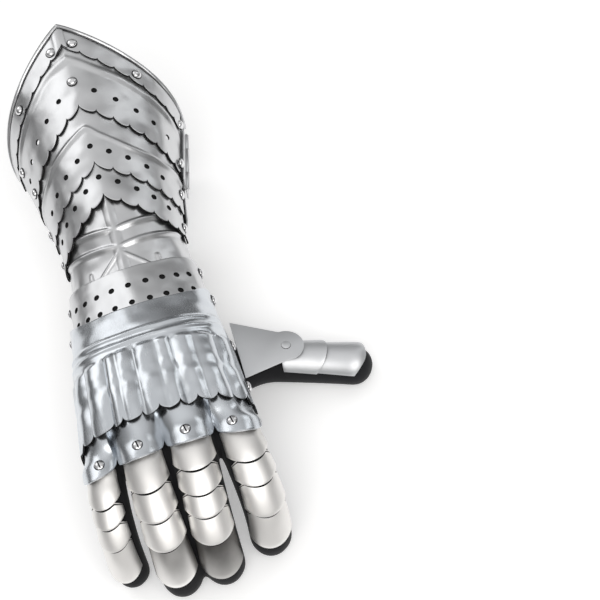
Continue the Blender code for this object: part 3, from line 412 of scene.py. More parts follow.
class GauntletSizes(bpy.types.PropertyGroup):
    hole_radius: bpy.props.FloatProperty(
        name="Hole radius", description="Radius of the pierced holes", default=0.0019, unit="LENGTH")
    bead_height: bpy.props.FloatProperty(
        name="Bead height", description="How far the cuff's raised lines stand up", default=0.0010,
        unit="LENGTH")
    rib_height: bpy.props.FloatProperty(
        name="Rib height", description="Depth of the wrist plate's panels below its ribs", default=0.0016,
        unit="LENGTH")
    flute_height: bpy.props.FloatProperty(
        name="Flute height", description="Depth of the hand plate's deepest valleys", default=0.0036,
        unit="LENGTH")
    rivet_radius: bpy.props.FloatProperty(
        name="Rivet radius", description="Radius of the domed rivets' heads", default=0.0040, unit="LENGTH")
    rivet_dome: bpy.props.FloatProperty(
        name="Rivet dome", description="Height of the domed rivets' heads", default=0.0026, unit="LENGTH")
    hand_bead_height: bpy.props.FloatProperty(
        name="Hand bead height", description="Height of the two lines across the hand plate", default=0.0011,
        unit="LENGTH")


class GauntletFinishes(bpy.types.PropertyGroup):
    cuff_colour: bpy.props.FloatVectorProperty(
        name="Cuff steel", description="Colour of the cuff plates", default=(0.66, 0.665, 0.675),
        subtype="COLOR")
    hand_colour: bpy.props.FloatVectorProperty(
        name="Hand steel", description="Colour of the hand and knuckle plates", default=(0.66, 0.69, 0.725),
        subtype="COLOR")
    scale_colour: bpy.props.FloatVectorProperty(
        name="Scale steel", description="Colour of the finger scales", default=(0.88, 0.865, 0.845),
        subtype="COLOR")
    # Colour of the painted dark reflection on two fingertip scales
    painted_reflection_colour: bpy.props.FloatVectorProperty(
        name="Dark scale steel", description="Colour of the two darker scales at the fingertips",
        default=(0.13, 0.125, 0.12), subtype="COLOR")
    thumb_colour: bpy.props.FloatVectorProperty(
        name="Thumb steel", description="Colour of the plate over the thumb's root",
        default=(0.70, 0.71, 0.725), subtype="COLOR")
    leather_colour: bpy.props.FloatVectorProperty(
        name="Leather", description="Colour of the glove", default=(0.007, 0.007, 0.008), subtype="COLOR")
    steel_roughness: bpy.props.FloatProperty(
        name="Steel roughness", description="Roughness of the cuff's satin finish", default=0.33,
        subtype="FACTOR")


class GauntletStage(bpy.types.PropertyGroup):
    floor_colour: bpy.props.FloatVectorProperty(
        name="Floor", description="Colour of the floor", default=(0.92, 0.92, 0.92), subtype="COLOR")
    key_power: bpy.props.FloatProperty(
        name="Key light", description="Power of the large light at the back left", default=2.5, unit="POWER")
    front_power: bpy.props.FloatProperty(
        name="Front light", description="Power of the warm light over the fingers", default=11.0,
        unit="POWER")
    strip_power: bpy.props.FloatProperty(
        name="Strip light", description="Power of the narrow light at the right", default=0.9, unit="POWER")
    floor_glow: bpy.props.FloatProperty(
        name="Floor glow", description="Strength of the floor's own light", default=0.30, subtype="FACTOR")
    world_strength: bpy.props.FloatProperty(
        name="Surroundings", description="Strength of the light from all around", default=1.0,
        subtype="FACTOR")


# Reading tables and working out the surfaces

CURVES = {}


def curve_of(table, column):
    """Keys, values and tangents of one column of a table, worked out once."""
    found = CURVES.get((table, column))
    if found is None:
        rows = sorted(table)
        keys = [row[0] for row in rows]
        values = [row[column] for row in rows]
        slopes = [(values[i + 1] - values[i]) / (keys[i + 1] - keys[i]) for i in range(len(rows) - 1)]
        tangents = [slopes[0]]
        for before, after in zip(slopes, slopes[1:]):
            same_way = before * after > 0
            tangents.append(2 * before * after / (before + after) if same_way else 0.0)
        tangents.append(slopes[-1])
        found = CURVES[(table, column)] = (keys, values, tangents)
    return found


def smooth(table, column, at):
    """Read one column of a table at a place in its first column, on a curve without overshoot."""
    keys, values, tangents = curve_of(table, column)
    at = min(max(at, keys[0]), keys[-1])
    i = max(k for k in range(len(keys) - 1) if keys[k] <= at)
    width = keys[i + 1] - keys[i]
    t = (at - keys[i]) / width
    return (
        values[i] * (1 + 2 * t) * (1 - t) ** 2
        + values[i + 1] * t * t * (3 - 2 * t)
        + width * tangents[i] * t * (1 - t) ** 2
        + width * tangents[i + 1] * t * t * (t - 1)
    )


def ease(t):
    t = min(max(t, 0.0), 1.0)
    return t * t * (3 - 2 * t)


def bump(distance, width):
    """One at no distance, falling softly to none at the width."""
    share = min(abs(distance) / width, 1.0)
    return (1 - share * share) ** 2


def signed_power(value, power):
    return abs(value) ** power * (1 if value >= 0 else -1)


def cuff_point(y, angle, out):
    """A point on the cuff: angle in degrees from the ridge, positive to the thumb side."""
    along = y / CUFF_LENGTH
    half_width = CUFF_HALF_WIDTH * smooth(CUFF_SECTIONS, 1, along) + out
    ridge = CUFF_HEIGHT * smooth(CUFF_SECTIONS, 3, along)
    height = CUFF_HEIGHT * smooth(CUFF_SECTIONS, 2, along) + out - ridge
    turn = radians(angle)
    if cos(turn) < 0:
        return Vector((half_width * sin(turn), y, (CUFF_DEPTH + out) * cos(turn)))
    softened = (angle * angle + RIDGE_SOFTNESS ** 2) ** 0.5 - RIDGE_SOFTNESS / 2
    peak = ridge * max(0.0, 1 - softened / RIDGE_SPAN) ** 1.5
    return Vector((half_width * sin(turn), y, height * cos(turn) + peak))


def hand_point(y, angle, out):
    """A point on the hand: a squarer section than the cuff's."""
    along = y / HAND_LENGTH
    half_width = HAND_HALF_WIDTH * smooth(HAND_SECTIONS, 1, along) + out
    height = HAND_HEIGHT * smooth(HAND_SECTIONS, 2, along) + out
    turn = radians(angle)
    across = signed_power(sin(turn), 2 / HAND_SQUARENESS)
    rise = signed_power(cos(turn), 2 / HAND_SQUARENESS)
    return Vector((half_width * across, y, rise * (height if rise >= 0 else HAND_DEPTH + out)))


def normal_at(surface, y, angle, out):
    """The outward direction of a surface, from two short steps on it."""
    along = surface(y + 0.001, angle, out) - surface(y - 0.001, angle, out)
    across = surface(y, angle + 1.0, out) - surface(y, angle - 1.0, out)
    return across.cross(along).normalized()


def cuff_edge(column, angle):
    return CUFF_LENGTH * smooth(CUFF_EDGES, column, abs(angle) / 90)


def wrist_edge(column, angle):
    return CUFF_LENGTH * smooth(WRIST_EDGES, column, abs(angle) / 90)


def plate_top(column, angle):
    """Upper edge of a cuff plate that runs up under the plate whose lower edge is given."""
    first, last = SIDE_LAP_ANGLES
    lap = PLATE_LAP + (SIDE_LAP - PLATE_LAP) * ease((abs(angle) - first) / (last - first))
    return cuff_edge(column, angle) + lap


def scallop(angle, pitch, depth=SCALLOP_DEPTH):
    """How far a scalloped edge drops below its cusps, which lie a pitch apart from the ridge."""
    share = (abs(angle) / pitch) % 1.0
    return depth * (1 - (2 * share - 1) ** 2) ** 0.5 if 0 < share < 1 else 0.0


def lobe(angle, cusps, depth):
    """How far an edge with uneven lobes drops below its cusps."""
    for left, right in zip(cusps, cusps[1:]):
        if left <= angle <= right:
            share = (angle - left) / (right - left)
            return depth * (1 - (2 * share - 1) ** 2) ** 0.5 if 0 < share < 1 else 0.0
    return 0.0


def even_steps(start, end, count):
    return [start + (end - start) * i / count for i in range(count + 1)]


def scallop_angles(count, pitch):
    """Angles with steps that are finer near the cusps, so that each scallop is round."""
    shares = [(1 - cos(pi * k / SCALLOP_STEPS)) / 2 for k in range(SCALLOP_STEPS)]
    return [(i + share) * pitch for i in range(-count, count) for share in shares] + [count * pitch]


def stretch_angles(cusps, steps):
    """Angles at the cusps and at steps between them, finer near the cusps."""
    shares = [(1 - cos(pi * k / steps)) / 2 for k in range(steps)]
    found = [left + (right - left) * share for left, right in zip(cusps, cusps[1:]) for share in shares]
    return found + [cusps[-1]]


# Modelling

def deselect():
    bpy.ops.object.select_all(action="DESELECT")


def only(piece):
    deselect()
    piece.select_set(True)
    bpy.context.view_layer.objects.active = piece


def apply_modifier(piece, kind, **settings):
    """Add a modifier with these settings and apply it."""
    change = piece.modifiers.new(kind.lower(), kind)
    for name, value in settings.items():
        setattr(change, name, value)
    only(piece)
    bpy.ops.object.modifier_apply(modifier=change.name)


def join(pieces):
    """Join pieces into the first of them."""
    deselect()
    for piece in pieces:
        piece.select_set(True)
    bpy.context.view_layer.objects.active = pieces[0]
    bpy.ops.object.join()
    return pieces[0]


def reshape(piece, *steps):
    """Run mesh operators, each given with its settings, on the whole of a piece in edit mode."""
    only(piece)
    bpy.ops.object.mode_set(mode="EDIT")
    bpy.ops.mesh.select_all(action="SELECT")
    for step, settings in steps:
        step(**settings)
    bpy.ops.object.mode_set(mode="OBJECT")


def cut_away(piece, cutter):
    apply_modifier(piece, "BOOLEAN", operation="DIFFERENCE", solver="MANIFOLD", object=cutter)
    bpy.data.objects.remove(cutter)


def give_paints(piece, *names):
    for name in names:
        piece.data.materials.append(paint_of(name))


def sheet_grid(columns, rows, place):
    """A grid primitive whose vertices are placed, from the hand pivot, by a function of column and row."""
    deselect()
    bpy.ops.mesh.primitive_grid_add(x_subdivisions=columns, y_subdivisions=rows, size=2)
    piece = bpy.context.object
    for vertex in piece.data.vertices:
        column = round((vertex.co.x + 1) / 2 * columns)
        row = round((vertex.co.y + 1) / 2 * rows)
        vertex.co = place(column, row) + PIVOT
    return piece


def thicken(piece, thickness, paint=None, rounding=EDGE_ROUNDING, painted_shade_edge=False):
    """Give a sheet its wall, inwards, and round its edges a little. A painted sheet gets painted shade
    inside, and on its rim too when asked.
    """
    if paint:
        give_paints(piece, paint, "inside_steel", paint)
    # Inside faces, and rim faces when asked, take the painted shade
    apply_modifier(piece, "SOLIDIFY", thickness=thickness, offset=-1, use_even_offset=True,
                   material_offset=1 if paint else 0, material_offset_rim=1 if painted_shade_edge else 0)
    if paint:
        for face in piece.data.polygons:
            face.material_index %= 2
        piece.data.materials.pop(index=2)
    if rounding:
        apply_modifier(piece, "BEVEL", width=rounding, segments=2, limit_method="ANGLE",
                       angle_limit=radians(60), material=0)


def punch_holes(piece, surface, out, holes, radius, depth):
    """Punch round holes, each with a slightly eased outer edge, all painted shade inside. Holes that stop
    short of the inside show their painted bottoms in place of the shade seen through them.
    """
    deselect()
    bpy.ops.mesh.primitive_cylinder_add(vertices=HOLE_SIDES, radius=radius, depth=depth)
    punch = bpy.context.object
    give_paints(punch, "cuff_steel", "inside_steel")
    bpy.ops.object.mode_set(mode="EDIT")
    bpy.ops.mesh.select_all(action="DESELECT")
    shape = bmesh.from_edit_mesh(punch.data)
    # Every face of the punch, walls, bottom and eased edge, carries painted shade
    for face in shape.faces:
        face.material_index = 1
        face.select_set(face.normal.z > 0.9)
    bmesh.update_edit_mesh(punch.data)
    bpy.ops.mesh.extrude_region_move(TRANSFORM_OT_translate={"value": (0, 0, HOLE_FLARE)})
    size = (radius + HOLE_FLARE) / radius
    bpy.ops.transform.resize(value=(size, size, 1))
    bpy.ops.object.mode_set(mode="OBJECT")
    copies = []
    for angle, y in holes:
        copy = punch.copy()
        copy.data = punch.data.copy()
        bpy.context.collection.objects.link(copy)
        direction = normal_at(surface, y, angle, out)
        turn = direction.to_track_quat("Z", "Y").to_matrix().to_4x4()
        place = surface(y, angle, out) + PIVOT - direction * (depth / 2 + HOLE_EDGE)
        copy.data.transform(Matrix.Translation(place) @ turn)
        copies.append(copy)
    bpy.data.objects.remove(punch)
    cut_away(piece, join(copies))


def both_sides(holes):
    """Places of a pierced row on both sides of the ridge."""
    return list(holes) + [(-angle, y) for angle, y in holes if angle]


def keep(piece, body, slot, name, smooth_angle=35):
    """Finish a piece: name it, smooth it, paint it, and let it ride its body in place of its CAD node."""
    piece.name = "gauntlet_" + name
    only(piece)
    bpy.ops.object.shade_smooth_by_angle(angle=radians(smooth_angle))
    if not piece.data.materials:
        give_paints(piece, slot)
    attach(piece, body)
    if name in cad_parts:
        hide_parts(name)


def place_upright(piece, place, direction, side=None):
    """Move a primitive's mesh so that its Z axis points along a direction from a place."""
    turn = direction.to_track_quat("Z", "Y").to_matrix()
    if side is not None:
        side = (side - direction * side.dot(direction)).normalized()
        turn = Matrix((side, direction.cross(side), direction)).transposed()
    piece.data.transform(Matrix.Translation(place + PIVOT) @ turn.to_4x4())


# Materials

class Wire:
    """A socket of a material's nodes. Arithmetic on it adds Math nodes."""

    def __init__(self, paint, socket):
        self.paint = paint
        self.socket = socket

    def math(self, operation, first, second):
        return self.paint.node("Math", {"operation": operation}, {0: first, 1: second})

    def __add__(self, other):
        return self.math("ADD", self, other)

    def __sub__(self, other):
        return self.math("SUBTRACT", self, other)

    def __mul__(self, other):
        return self.math("MULTIPLY", self, other)

    def __rsub__(self, other):
        return self.math("SUBTRACT", other, self)

    __radd__ = __add__
    __rmul__ = __mul__

    def at_least(self, other):
        return self.math("MAXIMUM", self, other)


class Paint:
    """A material with a Principled shader and short ways to add nodes."""

    def __init__(self, name):
        self.material = bpy.data.materials.new(name)
        self.material.use_nodes = True
        self.tree = self.material.node_tree
        self.shader = self.tree.nodes["Principled BSDF"]

    def node(self, kind, settings=None, values=None, output=0):
        """Add a node, with its settings first and then the values or links of its sockets."""
        made = self.tree.nodes.new("ShaderNode" + kind)
        for name, value in (settings or {}).items():
            if name == "stops":
                for stop, (place, colour) in zip(made.color_ramp.elements, value):
                    stop.position = place
                    stop.color = colour
            else:
                setattr(made, name, value)
        for name, value in (values or {}).items():
            self.feed(made.inputs[name], value)
        return Wire(self, made.outputs[output])

    def feed(self, socket, value):
        if isinstance(value, Wire):
            self.tree.links.new(value.socket, socket)
        else:
            socket.default_value = value

    def set(self, **values):
        for name, value in values.items():
            self.feed(self.shader.inputs[name.replace("_", " ")], value)

    def cloud(self, scale, detail, stretch=(1, 1, 1)):
        """Noise on the piece's own coordinates, which may be stretched."""
        own = self.node("TexCoord", output=3)
        place = self.node("Mapping", None, {"Vector": own, "Scale": stretch})
        return self.node("TexNoise", None, {"Vector": place, "Scale": scale, "Detail": detail})

    def mix(self, share, first, second):
        """A colour between two, from a share of the second."""
        return self.node("Mix", {"data_type": "RGBA"}, {0: share, 6: (*first, 1), 7: (*second, 1)}, 2)


def steel_paint(name, colour, roughness, grime=0.22, waviness=0.9):
    """Satin steel with cloudy wear, fine grinding lines and a slightly uneven surface."""
    paint = Paint(name)
    wear = paint.cloud(28.0, 4.0)
    lines = paint.cloud(60.0, 2.0, (14, 1.4, 14))
    worn = paint.mix(wear * grime, colour, [part * 0.62 for part in colour])
    swell = paint.cloud(22.0, 2.0)
    uneven = paint.node("Bump", None, {"Strength": waviness, "Distance": 0.007, "Height": swell})
    ground = paint.node("Bump", None, {
        "Strength": 0.05, "Distance": 0.0004, "Height": lines, "Normal": uneven})
    rough = wear * 0.10 + lines * 0.06 + (roughness - 0.08)
    paint.set(Base_Color=worn, Metallic=1.0, Roughness=rough, Normal=ground)
    return paint.material


def painted_reflection_paint(name, paleness, dark, pale):
    """A fingertip scale with a painted dark reflection, running from dark at its upper end to pale at the
    tip.
    """
    paint = Paint(name + "_steel")
    low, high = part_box(name)
    own = paint.node("SeparateXYZ", None, {0: paint.node("TexCoord", output=3)}, 1)
    wear = paint.cloud(45.0, 3.0)
    share = (high.y - own) * (1 / (high.y - low.y)) * 0.9 + wear * 0.4 + (paleness - 0.35)
    paint.set(Base_Color=paint.mix(share, dark, pale), Metallic=1.0, Roughness=wear * 0.15 + 0.30)
    return paint.material


def painted_shade_paint():
    """Matt near-black paint that stands in for shade: on the insides, on some rims, in the holes, round
    rivet and screw heads and in the screw slots.
    """
    paint = Paint("dark_inside_steel")
    paint.set(Base_Color=(0.012, 0.012, 0.012, 1), Metallic=0.0, Roughness=0.8, Specular_IOR_Level=0.2)
    return paint.material


def leather_paint(colour):
    """Napped black leather."""
    paint = Paint("black_leather_nap")
    nap = paint.cloud(900.0, 3.0)
    patches = paint.cloud(35.0, 3.0)
    tone = paint.mix(patches, colour, [part * 2.4 for part in colour])
    creases = paint.node("Bump", None, {"Strength": 0.35, "Distance": 0.002, "Height": patches})
    ground = paint.node("Bump", None, {
        "Strength": 0.35, "Distance": 0.0003, "Height": nap, "Normal": creases})
    paint.set(Base_Color=tone, Roughness=0.86, Specular_IOR_Level=0.25, Sheen_Weight=0.10,
              Sheen_Roughness=0.5, Normal=ground)
    return paint.material


PAINTS = {}


def paint_of(name):
    """The materials of this gauntlet, each made when it is first needed."""
    if name not in PAINTS:
        finish = bpy.context.scene.gauntlet_finishes
        rough = finish.steel_roughness
        makers = {
            "cuff_steel": lambda: steel_paint("satin_cuff_steel", finish.cuff_colour, rough),
            "hand_steel": lambda: steel_paint("satin_hand_steel", finish.hand_colour, rough - 0.07),
            "scale_steel": lambda: steel_paint(
                "pale_scale_steel", finish.scale_colour, rough + 0.15, 0.10, 0.35),
            "thumb_steel": lambda: steel_paint(
                "dull_thumb_steel", finish.thumb_colour, rough + 0.16, 0.06, 0.15),
            "rivet_steel": lambda: steel_paint("polished_rivet_steel", (0.78, 0.78, 0.79), 0.24, 0.05, 0.0),
            "inside_steel": painted_shade_paint,
            "black_leather": lambda: leather_paint(finish.leather_colour),
        }
        if name in PAINTED_REFLECTION_SCALES:
            PAINTS[name] = painted_reflection_paint(
                name, PAINTED_REFLECTION_SCALES[name], finish.painted_reflection_colour, finish.scale_colour)
        else:
            PAINTS[name] = makers[name]()
    return PAINTS[name]


# Cuff plates

def cuff_sheet(angles, lower, cusp_line, upper, lift, rows, curl=0, surface=cuff_point):
    """A sheet on the cuff or hand. Its lowest rows take up the scallops, and curl rows roll its rim."""
    def place(column, row):
        angle = angles[column]
        settled = cusp_line(angle) + SCALLOP_SETTLING
        if row <= SCALLOP_ROWS:
            y = lower(angle) + (settled - lower(angle)) * row / SCALLOP_ROWS
        else:
            share = (min(row, rows) - SCALLOP_ROWS) / (rows - SCALLOP_ROWS)
            y = settled + (upper(angle) - settled) * share
        out = lift(angle, y)
        point = surface(y, angle, out)
        if row <= rows:
            return point
        outward = normal_at(surface, y, angle, out)
        along = (surface(y + 0.001, angle, out) - point).normalized()
        turn = radians(RIM_CURL_TURN) * (row - rows) / curl
        return point + RIM_CURL * (along * sin(turn) + outward * (1 - cos(turn)))

    sheet = sheet_grid(len(angles) - 1, rows + curl, place)
    # Curl rows start on the second slot, so that once the wall is given the inside of the rolled rim is
    # painted shade and its outside is steel
    for face in sheet.data.polygons:
        face.material_index = int(face.index // (len(angles) - 1) >= rows)
    return sheet


def rim_bead(angle, y):
    """The raised line that follows the border band a little way below it."""
    last, width = RIM_BEAD_FADE
    fade = 1 - ease((abs(angle) - last) / width)
    return fade * bump(y - (cuff_edge(RIM, angle) - smooth(RIM_BEAD, 1, angle)), RIM_BEAD_WIDTH)


def chevron_bead(angle, y):
    """The raised chevron across the middle plate."""
    return bump(y - smooth(MIDDLE_BEAD, 1, angle), MIDDLE_BEAD_WIDTH)


def make_cuff_plates():
    sizes = bpy.context.scene.gauntlet_sizes
    tops = {UPPER: lambda angle: cuff_edge(RIM, angle),
            MIDDLE: lambda angle: plate_top(UPPER, angle),
            LOWER: lambda angle: plate_top(MIDDLE, angle)}
    holes = {UPPER: UPPER_HOLES, MIDDLE: MIDDLE_HOLES, LOWER: LOWER_HOLES}
    relief = {UPPER: rim_bead, MIDDLE: chevron_bead, LOWER: lambda angle, y: 0.0}
    for name, column, layers, count, pitch, rows in CUFF_PLATES:
        plate = cuff_sheet(
            scallop_angles(count, pitch),
            lambda angle, c=column, p=pitch: cuff_edge(c, angle) - scallop(angle, p),
            lambda angle, c=column: cuff_edge(c, angle), tops[column],
            lambda angle, y, n=layers, c=column: n * LAYER + sizes.bead_height * relief[c](angle, y),
            rows, RIM_CURL_ROWS if column == UPPER else 0)
        # Rims painted shade, as dark outlines under the scalloped edges
        thicken(plate, STEEL, "cuff_steel", PAINTED_SHADE_EDGE_ROUNDING, painted_shade_edge=True)
        opened = OPEN_UPPER_HOLES if column == UPPER else ()
        pierced = [hole for hole in both_sides(holes[column]) if hole not in opened]
        # These holes stop short of the inside, and their painted-shade bottoms stand in for the shade seen
        # through them; the open ones go through
        punch_holes(plate, cuff_point, layers * LAYER, pierced, sizes.hole_radius, HOLE_DEPTH - HOLE_EDGE)
        if opened:
            punch_holes(plate, cuff_point, layers * LAYER, opened, sizes.hole_radius, OPEN_HOLE_DEPTH)
        keep(plate, "cuff", "cuff_steel", name)


def wrist_relief(angle, y):
    """Height of the wrist plate's pattern, from none in the panels to one on the ribs."""
    turn = abs(angle)
    height = max(0.0, 1 - radians(turn) * WRIST_RADIUS / RIDGE_WIDTH) ** 0.8
    for along, rise, last, width in WRIST_RIBS:
        fade = 1 - ease((turn - last + RIB_FADE) / RIB_FADE)
        height = max(height, fade * bump(y - along - rise * turn, width))
    start, slope, last, width, share = DIAGONAL
    if y < start and turn < last + 4:
        height = max(height, share * bump(y - start - slope * turn, width))
    middle, low, high, width, share = SHORT_RIB
    inside = ease((y - low) / 0.002) * ease((high - y) / 0.003)
    return max(height, share * inside * bump(radians(turn - middle) * WRIST_RADIUS, width))


def wrist_tuck_lift(angle, y):
    start = WRIST_PIVOT_Y - WRIST_TUCK + TUCK_LENGTH
    return -TUCK_DROP * ease((start - y) / TUCK_LENGTH)


def lame_lift(angle, y):
    return WRIST_LAYER - TUCK_DROP * ease(-y / TUCK_LENGTH)


def make_ribbed_wrist_plate():
    depth = bpy.context.scene.gauntlet_sizes.rib_height
    last, width = PANEL_FADE

    def lift(angle, y):
        inside = 1 - ease((abs(angle) - last) / width)
        return wrist_tuck_lift(angle, y) - depth * inside * (1 - wrist_relief(angle, y))

    low = WRIST_PIVOT_Y - WRIST_TUCK
    plate = cuff_sheet(
        even_steps(-WRIST_SIDE, WRIST_SIDE, 240), lambda angle: low, lambda angle: low,
        lambda angle: plate_top(LOWER, angle), lift, 90)
    thicken(plate, STEEL, "cuff_steel")
    keep(plate, "cuff", "cuff_steel", "ribbed_wrist_plate")


def border_rise(angle):
    return ease(1 - max(0.0, abs(angle) - 1.2 * BORDER_LAP) / (1.1 * BORDER_LAP))


def border_out(angle, sign):
    """How far the outside of a border band stands off the cuff's surface."""
    raised = (STEEL + TOUCH) * border_rise(angle) if sign < 0 else 0.0
    return 3 * LAYER + STEEL + TOUCH + raised


def border_line(angle):
    """The line through the cusps of a border band's scallops."""
    return cuff_edge(RIM, angle) - BORDER_WIDTH


def make_border_bands():
    for label, sign, count in (("thumb_side", 1, 9), ("little_side", -1, 10)):
        angles = [angle for angle in scallop_angles(count, BORDER_PITCH) if angle * sign >= 0]
        angles = sorted(angles + [-BORDER_LAP * sign * k / 3 for k in (1, 2, 3)])
        band = cuff_sheet(
            angles, lambda angle: border_line(angle) - scallop(angle, BORDER_PITCH, BORDER_SCALLOP),
            border_line,
            lambda angle: cuff_edge(RIM, angle) - BORDER_RIM_SPACE,
            lambda angle, y, s=sign: border_out(angle, s), 12)
        # Rims painted shade, as dark outlines under the scalloped edges
        thicken(band, STEEL, "cuff_steel", PAINTED_SHADE_EDGE_ROUNDING, painted_shade_edge=True)
        keep(band, "cuff", "cuff_steel", "border_band_" + label)


# Hinge and underarm plate

def hinge_frame():
    """The hinge's lower end, its direction along the cuff and the outward and downward directions there."""
    out = 3 * LAYER
    start = cuff_point(HINGE_START, UPPER_PLATE_SIDE, out)
    end = cuff_point(HINGE_START + HINGE_LENGTH, UPPER_PLATE_SIDE, out)
    along = (end - start).normalized()
    outward = normal_at(cuff_point, HINGE_START + HINGE_LENGTH / 2, UPPER_PLATE_SIDE, out)
    down = along.cross(outward).normalized()
    if down.z > 0:
        down = -down
    outward = (outward - along * outward.dot(along)).normalized()
    centre = start + outward * BARREL_STAND_OFF + down * (BARREL_RADIUS + 2 * TOUCH)
    return centre, along, outward, down


def hinge_rod(sides, radius, length, middle, along):
    deselect()
    bpy.ops.mesh.primitive_cylinder_add(vertices=sides, radius=radius, depth=length)
    rod = bpy.context.object
    apply_modifier(rod, "BEVEL", width=ROD_ROUNDING, segments=2, limit_method="ANGLE")
    place_upright(rod, middle, along)
    return rod


def make_hinge():
    """Two flat leaves, the knuckles that they carry and the pin through them."""
    centre, along, outward, down = hinge_frame()
    base = centre - outward * (BARREL_STAND_OFF - LEAF_THICKNESS / 2 - LAYER_GAP)
    for label, body, away, spans in (
            ("cuff", "cuff", -down, ((0, 1), (2, 3))), ("underarm", "underarm_plate", down, ((1, 2),))):
        deselect()
        bpy.ops.mesh.primitive_cube_add(size=1)
        leaf = bpy.context.object
        leaf.data.transform(Matrix.Diagonal((LEAF_WIDTH, HINGE_LENGTH, LEAF_THICKNESS, 1)))
        middle = base + away * (PIN_RADIUS + LEAF_WIDTH / 2 + LEAF_SET_BACK) + along * HINGE_LENGTH / 2
        place_upright(leaf, middle, away.cross(along), away)
        apply_modifier(leaf, "BEVEL", width=LEAF_ROUNDING, segments=2)
        for first, last in spans:
            low = KNUCKLE_SPLITS[first] * HINGE_LENGTH + (TOUCH / 2 if first else 0)
            high = KNUCKLE_SPLITS[last] * HINGE_LENGTH - (TOUCH / 2 if last < 3 else 0)
            join([leaf, hinge_rod(28, BARREL_RADIUS, high - low, centre + along * (low + high) / 2, along)])
        keep(leaf, body, "cuff_steel", "hinge_leaf_" + label)
    pin = hinge_rod(20, PIN_RADIUS, HINGE_LENGTH + PIN_SPARE, centre + along * HINGE_LENGTH / 2, along)
    keep(pin, "cuff", "rivet_steel", "hinge_pin")


def underarm_lift(angle, y):
    """Level with the upper plate at the hinge, inside every cuff plate at the free edge."""
    hinge_side = 3 * LAYER
    free_side = -(STEEL + 2 * LAYER_GAP)
    first, last = UNDERARM_FACET
    if angle < first:
        return LAYER + (hinge_side - LAYER) * ease((first - angle) / UNDERARM_BLEND)
    return LAYER + (free_side - LAYER) * ease((angle - last) / UNDERARM_BLEND)


def make_underarm_plate():
    first = 180 - UNDERARM_STEP / 2 - UNDERARM_STEPS_BEFORE * UNDERARM_STEP
    last = 360 - UPPER_PLATE_SIDE + UNDERARM_FREE_LAP
    count = round((last - first) / UNDERARM_STEP)
    angles = even_steps(first, first + count * UNDERARM_STEP, count * 5)
    lowest = cuff_point(UNDERARM_START, 180 - UNDERARM_STEP / 2, LAYER).z

    def flattened(y, angle, out):
        """The facet underneath stays flat, as the plate rests on it."""
        point = cuff_point(y, angle, out)
        return Vector((point.x, point.y, max(point.z, lowest)))

    plate = cuff_sheet(
        angles, lambda angle: UNDERARM_START, lambda angle: UNDERARM_START, lambda angle: UNDERARM_END,
        underarm_lift, 24, surface=flattened)
    thicken(plate, STEEL, "cuff_steel")
    keep(plate, "underarm_plate", "cuff_steel", "underarm_plate")


# Wrist lame and hand plates

def make_wrist_lame():
    sizes = bpy.context.scene.gauntlet_sizes
    lame = cuff_sheet(
        even_steps(-WRIST_SIDE, WRIST_SIDE, 160),
        lambda angle: wrist_edge(LAME_BOTTOM, angle), lambda angle: wrist_edge(LAME_BOTTOM, angle),
        lambda angle: wrist_edge(LAME_TOP, angle), lame_lift, 36)
    thicken(lame, STEEL, "cuff_steel")
    holes = both_sides(LAME_UPPER_HOLES) + both_sides(LAME_LOWER_HOLES)
    # Blind holes whose painted-shade bottoms stand in for the shade seen through them
    punch_holes(lame, cuff_point, WRIST_LAYER, holes, sizes.hole_radius, HOLE_DEPTH - HOLE_EDGE)
    keep(lame, "wrist_lame", "cuff_steel", "wrist_lame")


def flute_relief(angle):
    """Depth below the flutes' crests, from none on a crest to one in the deepest valley."""
    for (left, left_depth), (right, right_depth) in zip(FLUTE_VALLEYS, FLUTE_VALLEYS[1:]):
        if left <= angle <= right:
            share = (angle - left) / (right - left)
            return left_depth * (1 - share) ** FLUTE_SHARPNESS + right_depth * share ** FLUTE_SHARPNESS
    return FLUTE_VALLEYS[0][1]


def hand_lift(angle, y):
    sizes = bpy.context.scene.gauntlet_sizes
    lift = 0.0
    last, fade = HAND_RELIEF_FADE
    side = 1 - ease((abs(angle) - last) / fade)
    for along, rise, width, share in HAND_BEADS:
        line = along + rise * max(0.0, abs(angle) - HAND_BEAD_FLAT)
        lift += side * share * sizes.hand_bead_height * bump(y - line, width)
    started = ease((SHOULDER_Y - y) / SHOULDER_LENGTH)
    depth, width = FLUTE_DENT
    flute = sizes.flute_height * (1 - depth * bump(y - FLUTE_DENT_Y, width))
    return lift + side * started * flute * (FLUTE_CREST - flute_relief(angle))


def make_hand_plate():
    cusps = [degrees(share) for share in HAND_CUSPS]
    plate = cuff_sheet(
        stretch_angles(cusps, HAND_LOBE_STEPS),
        lambda angle: HAND_LENGTH * HAND_LOBE_EDGE - lobe(angle, cusps, HAND_LOBE_DEPTH),
        lambda angle: HAND_LENGTH * HAND_LOBE_EDGE, lambda angle: wrist_edge(HAND_TOP, angle), hand_lift, 96,
        surface=hand_point)
    # Rims painted shade, as dark outlines under the lobed edge
    thicken(plate, STEEL, "hand_steel", PAINTED_SHADE_EDGE_ROUNDING, painted_shade_edge=True)
    keep(plate, "hand", "hand_steel", "hand_plate", 50)


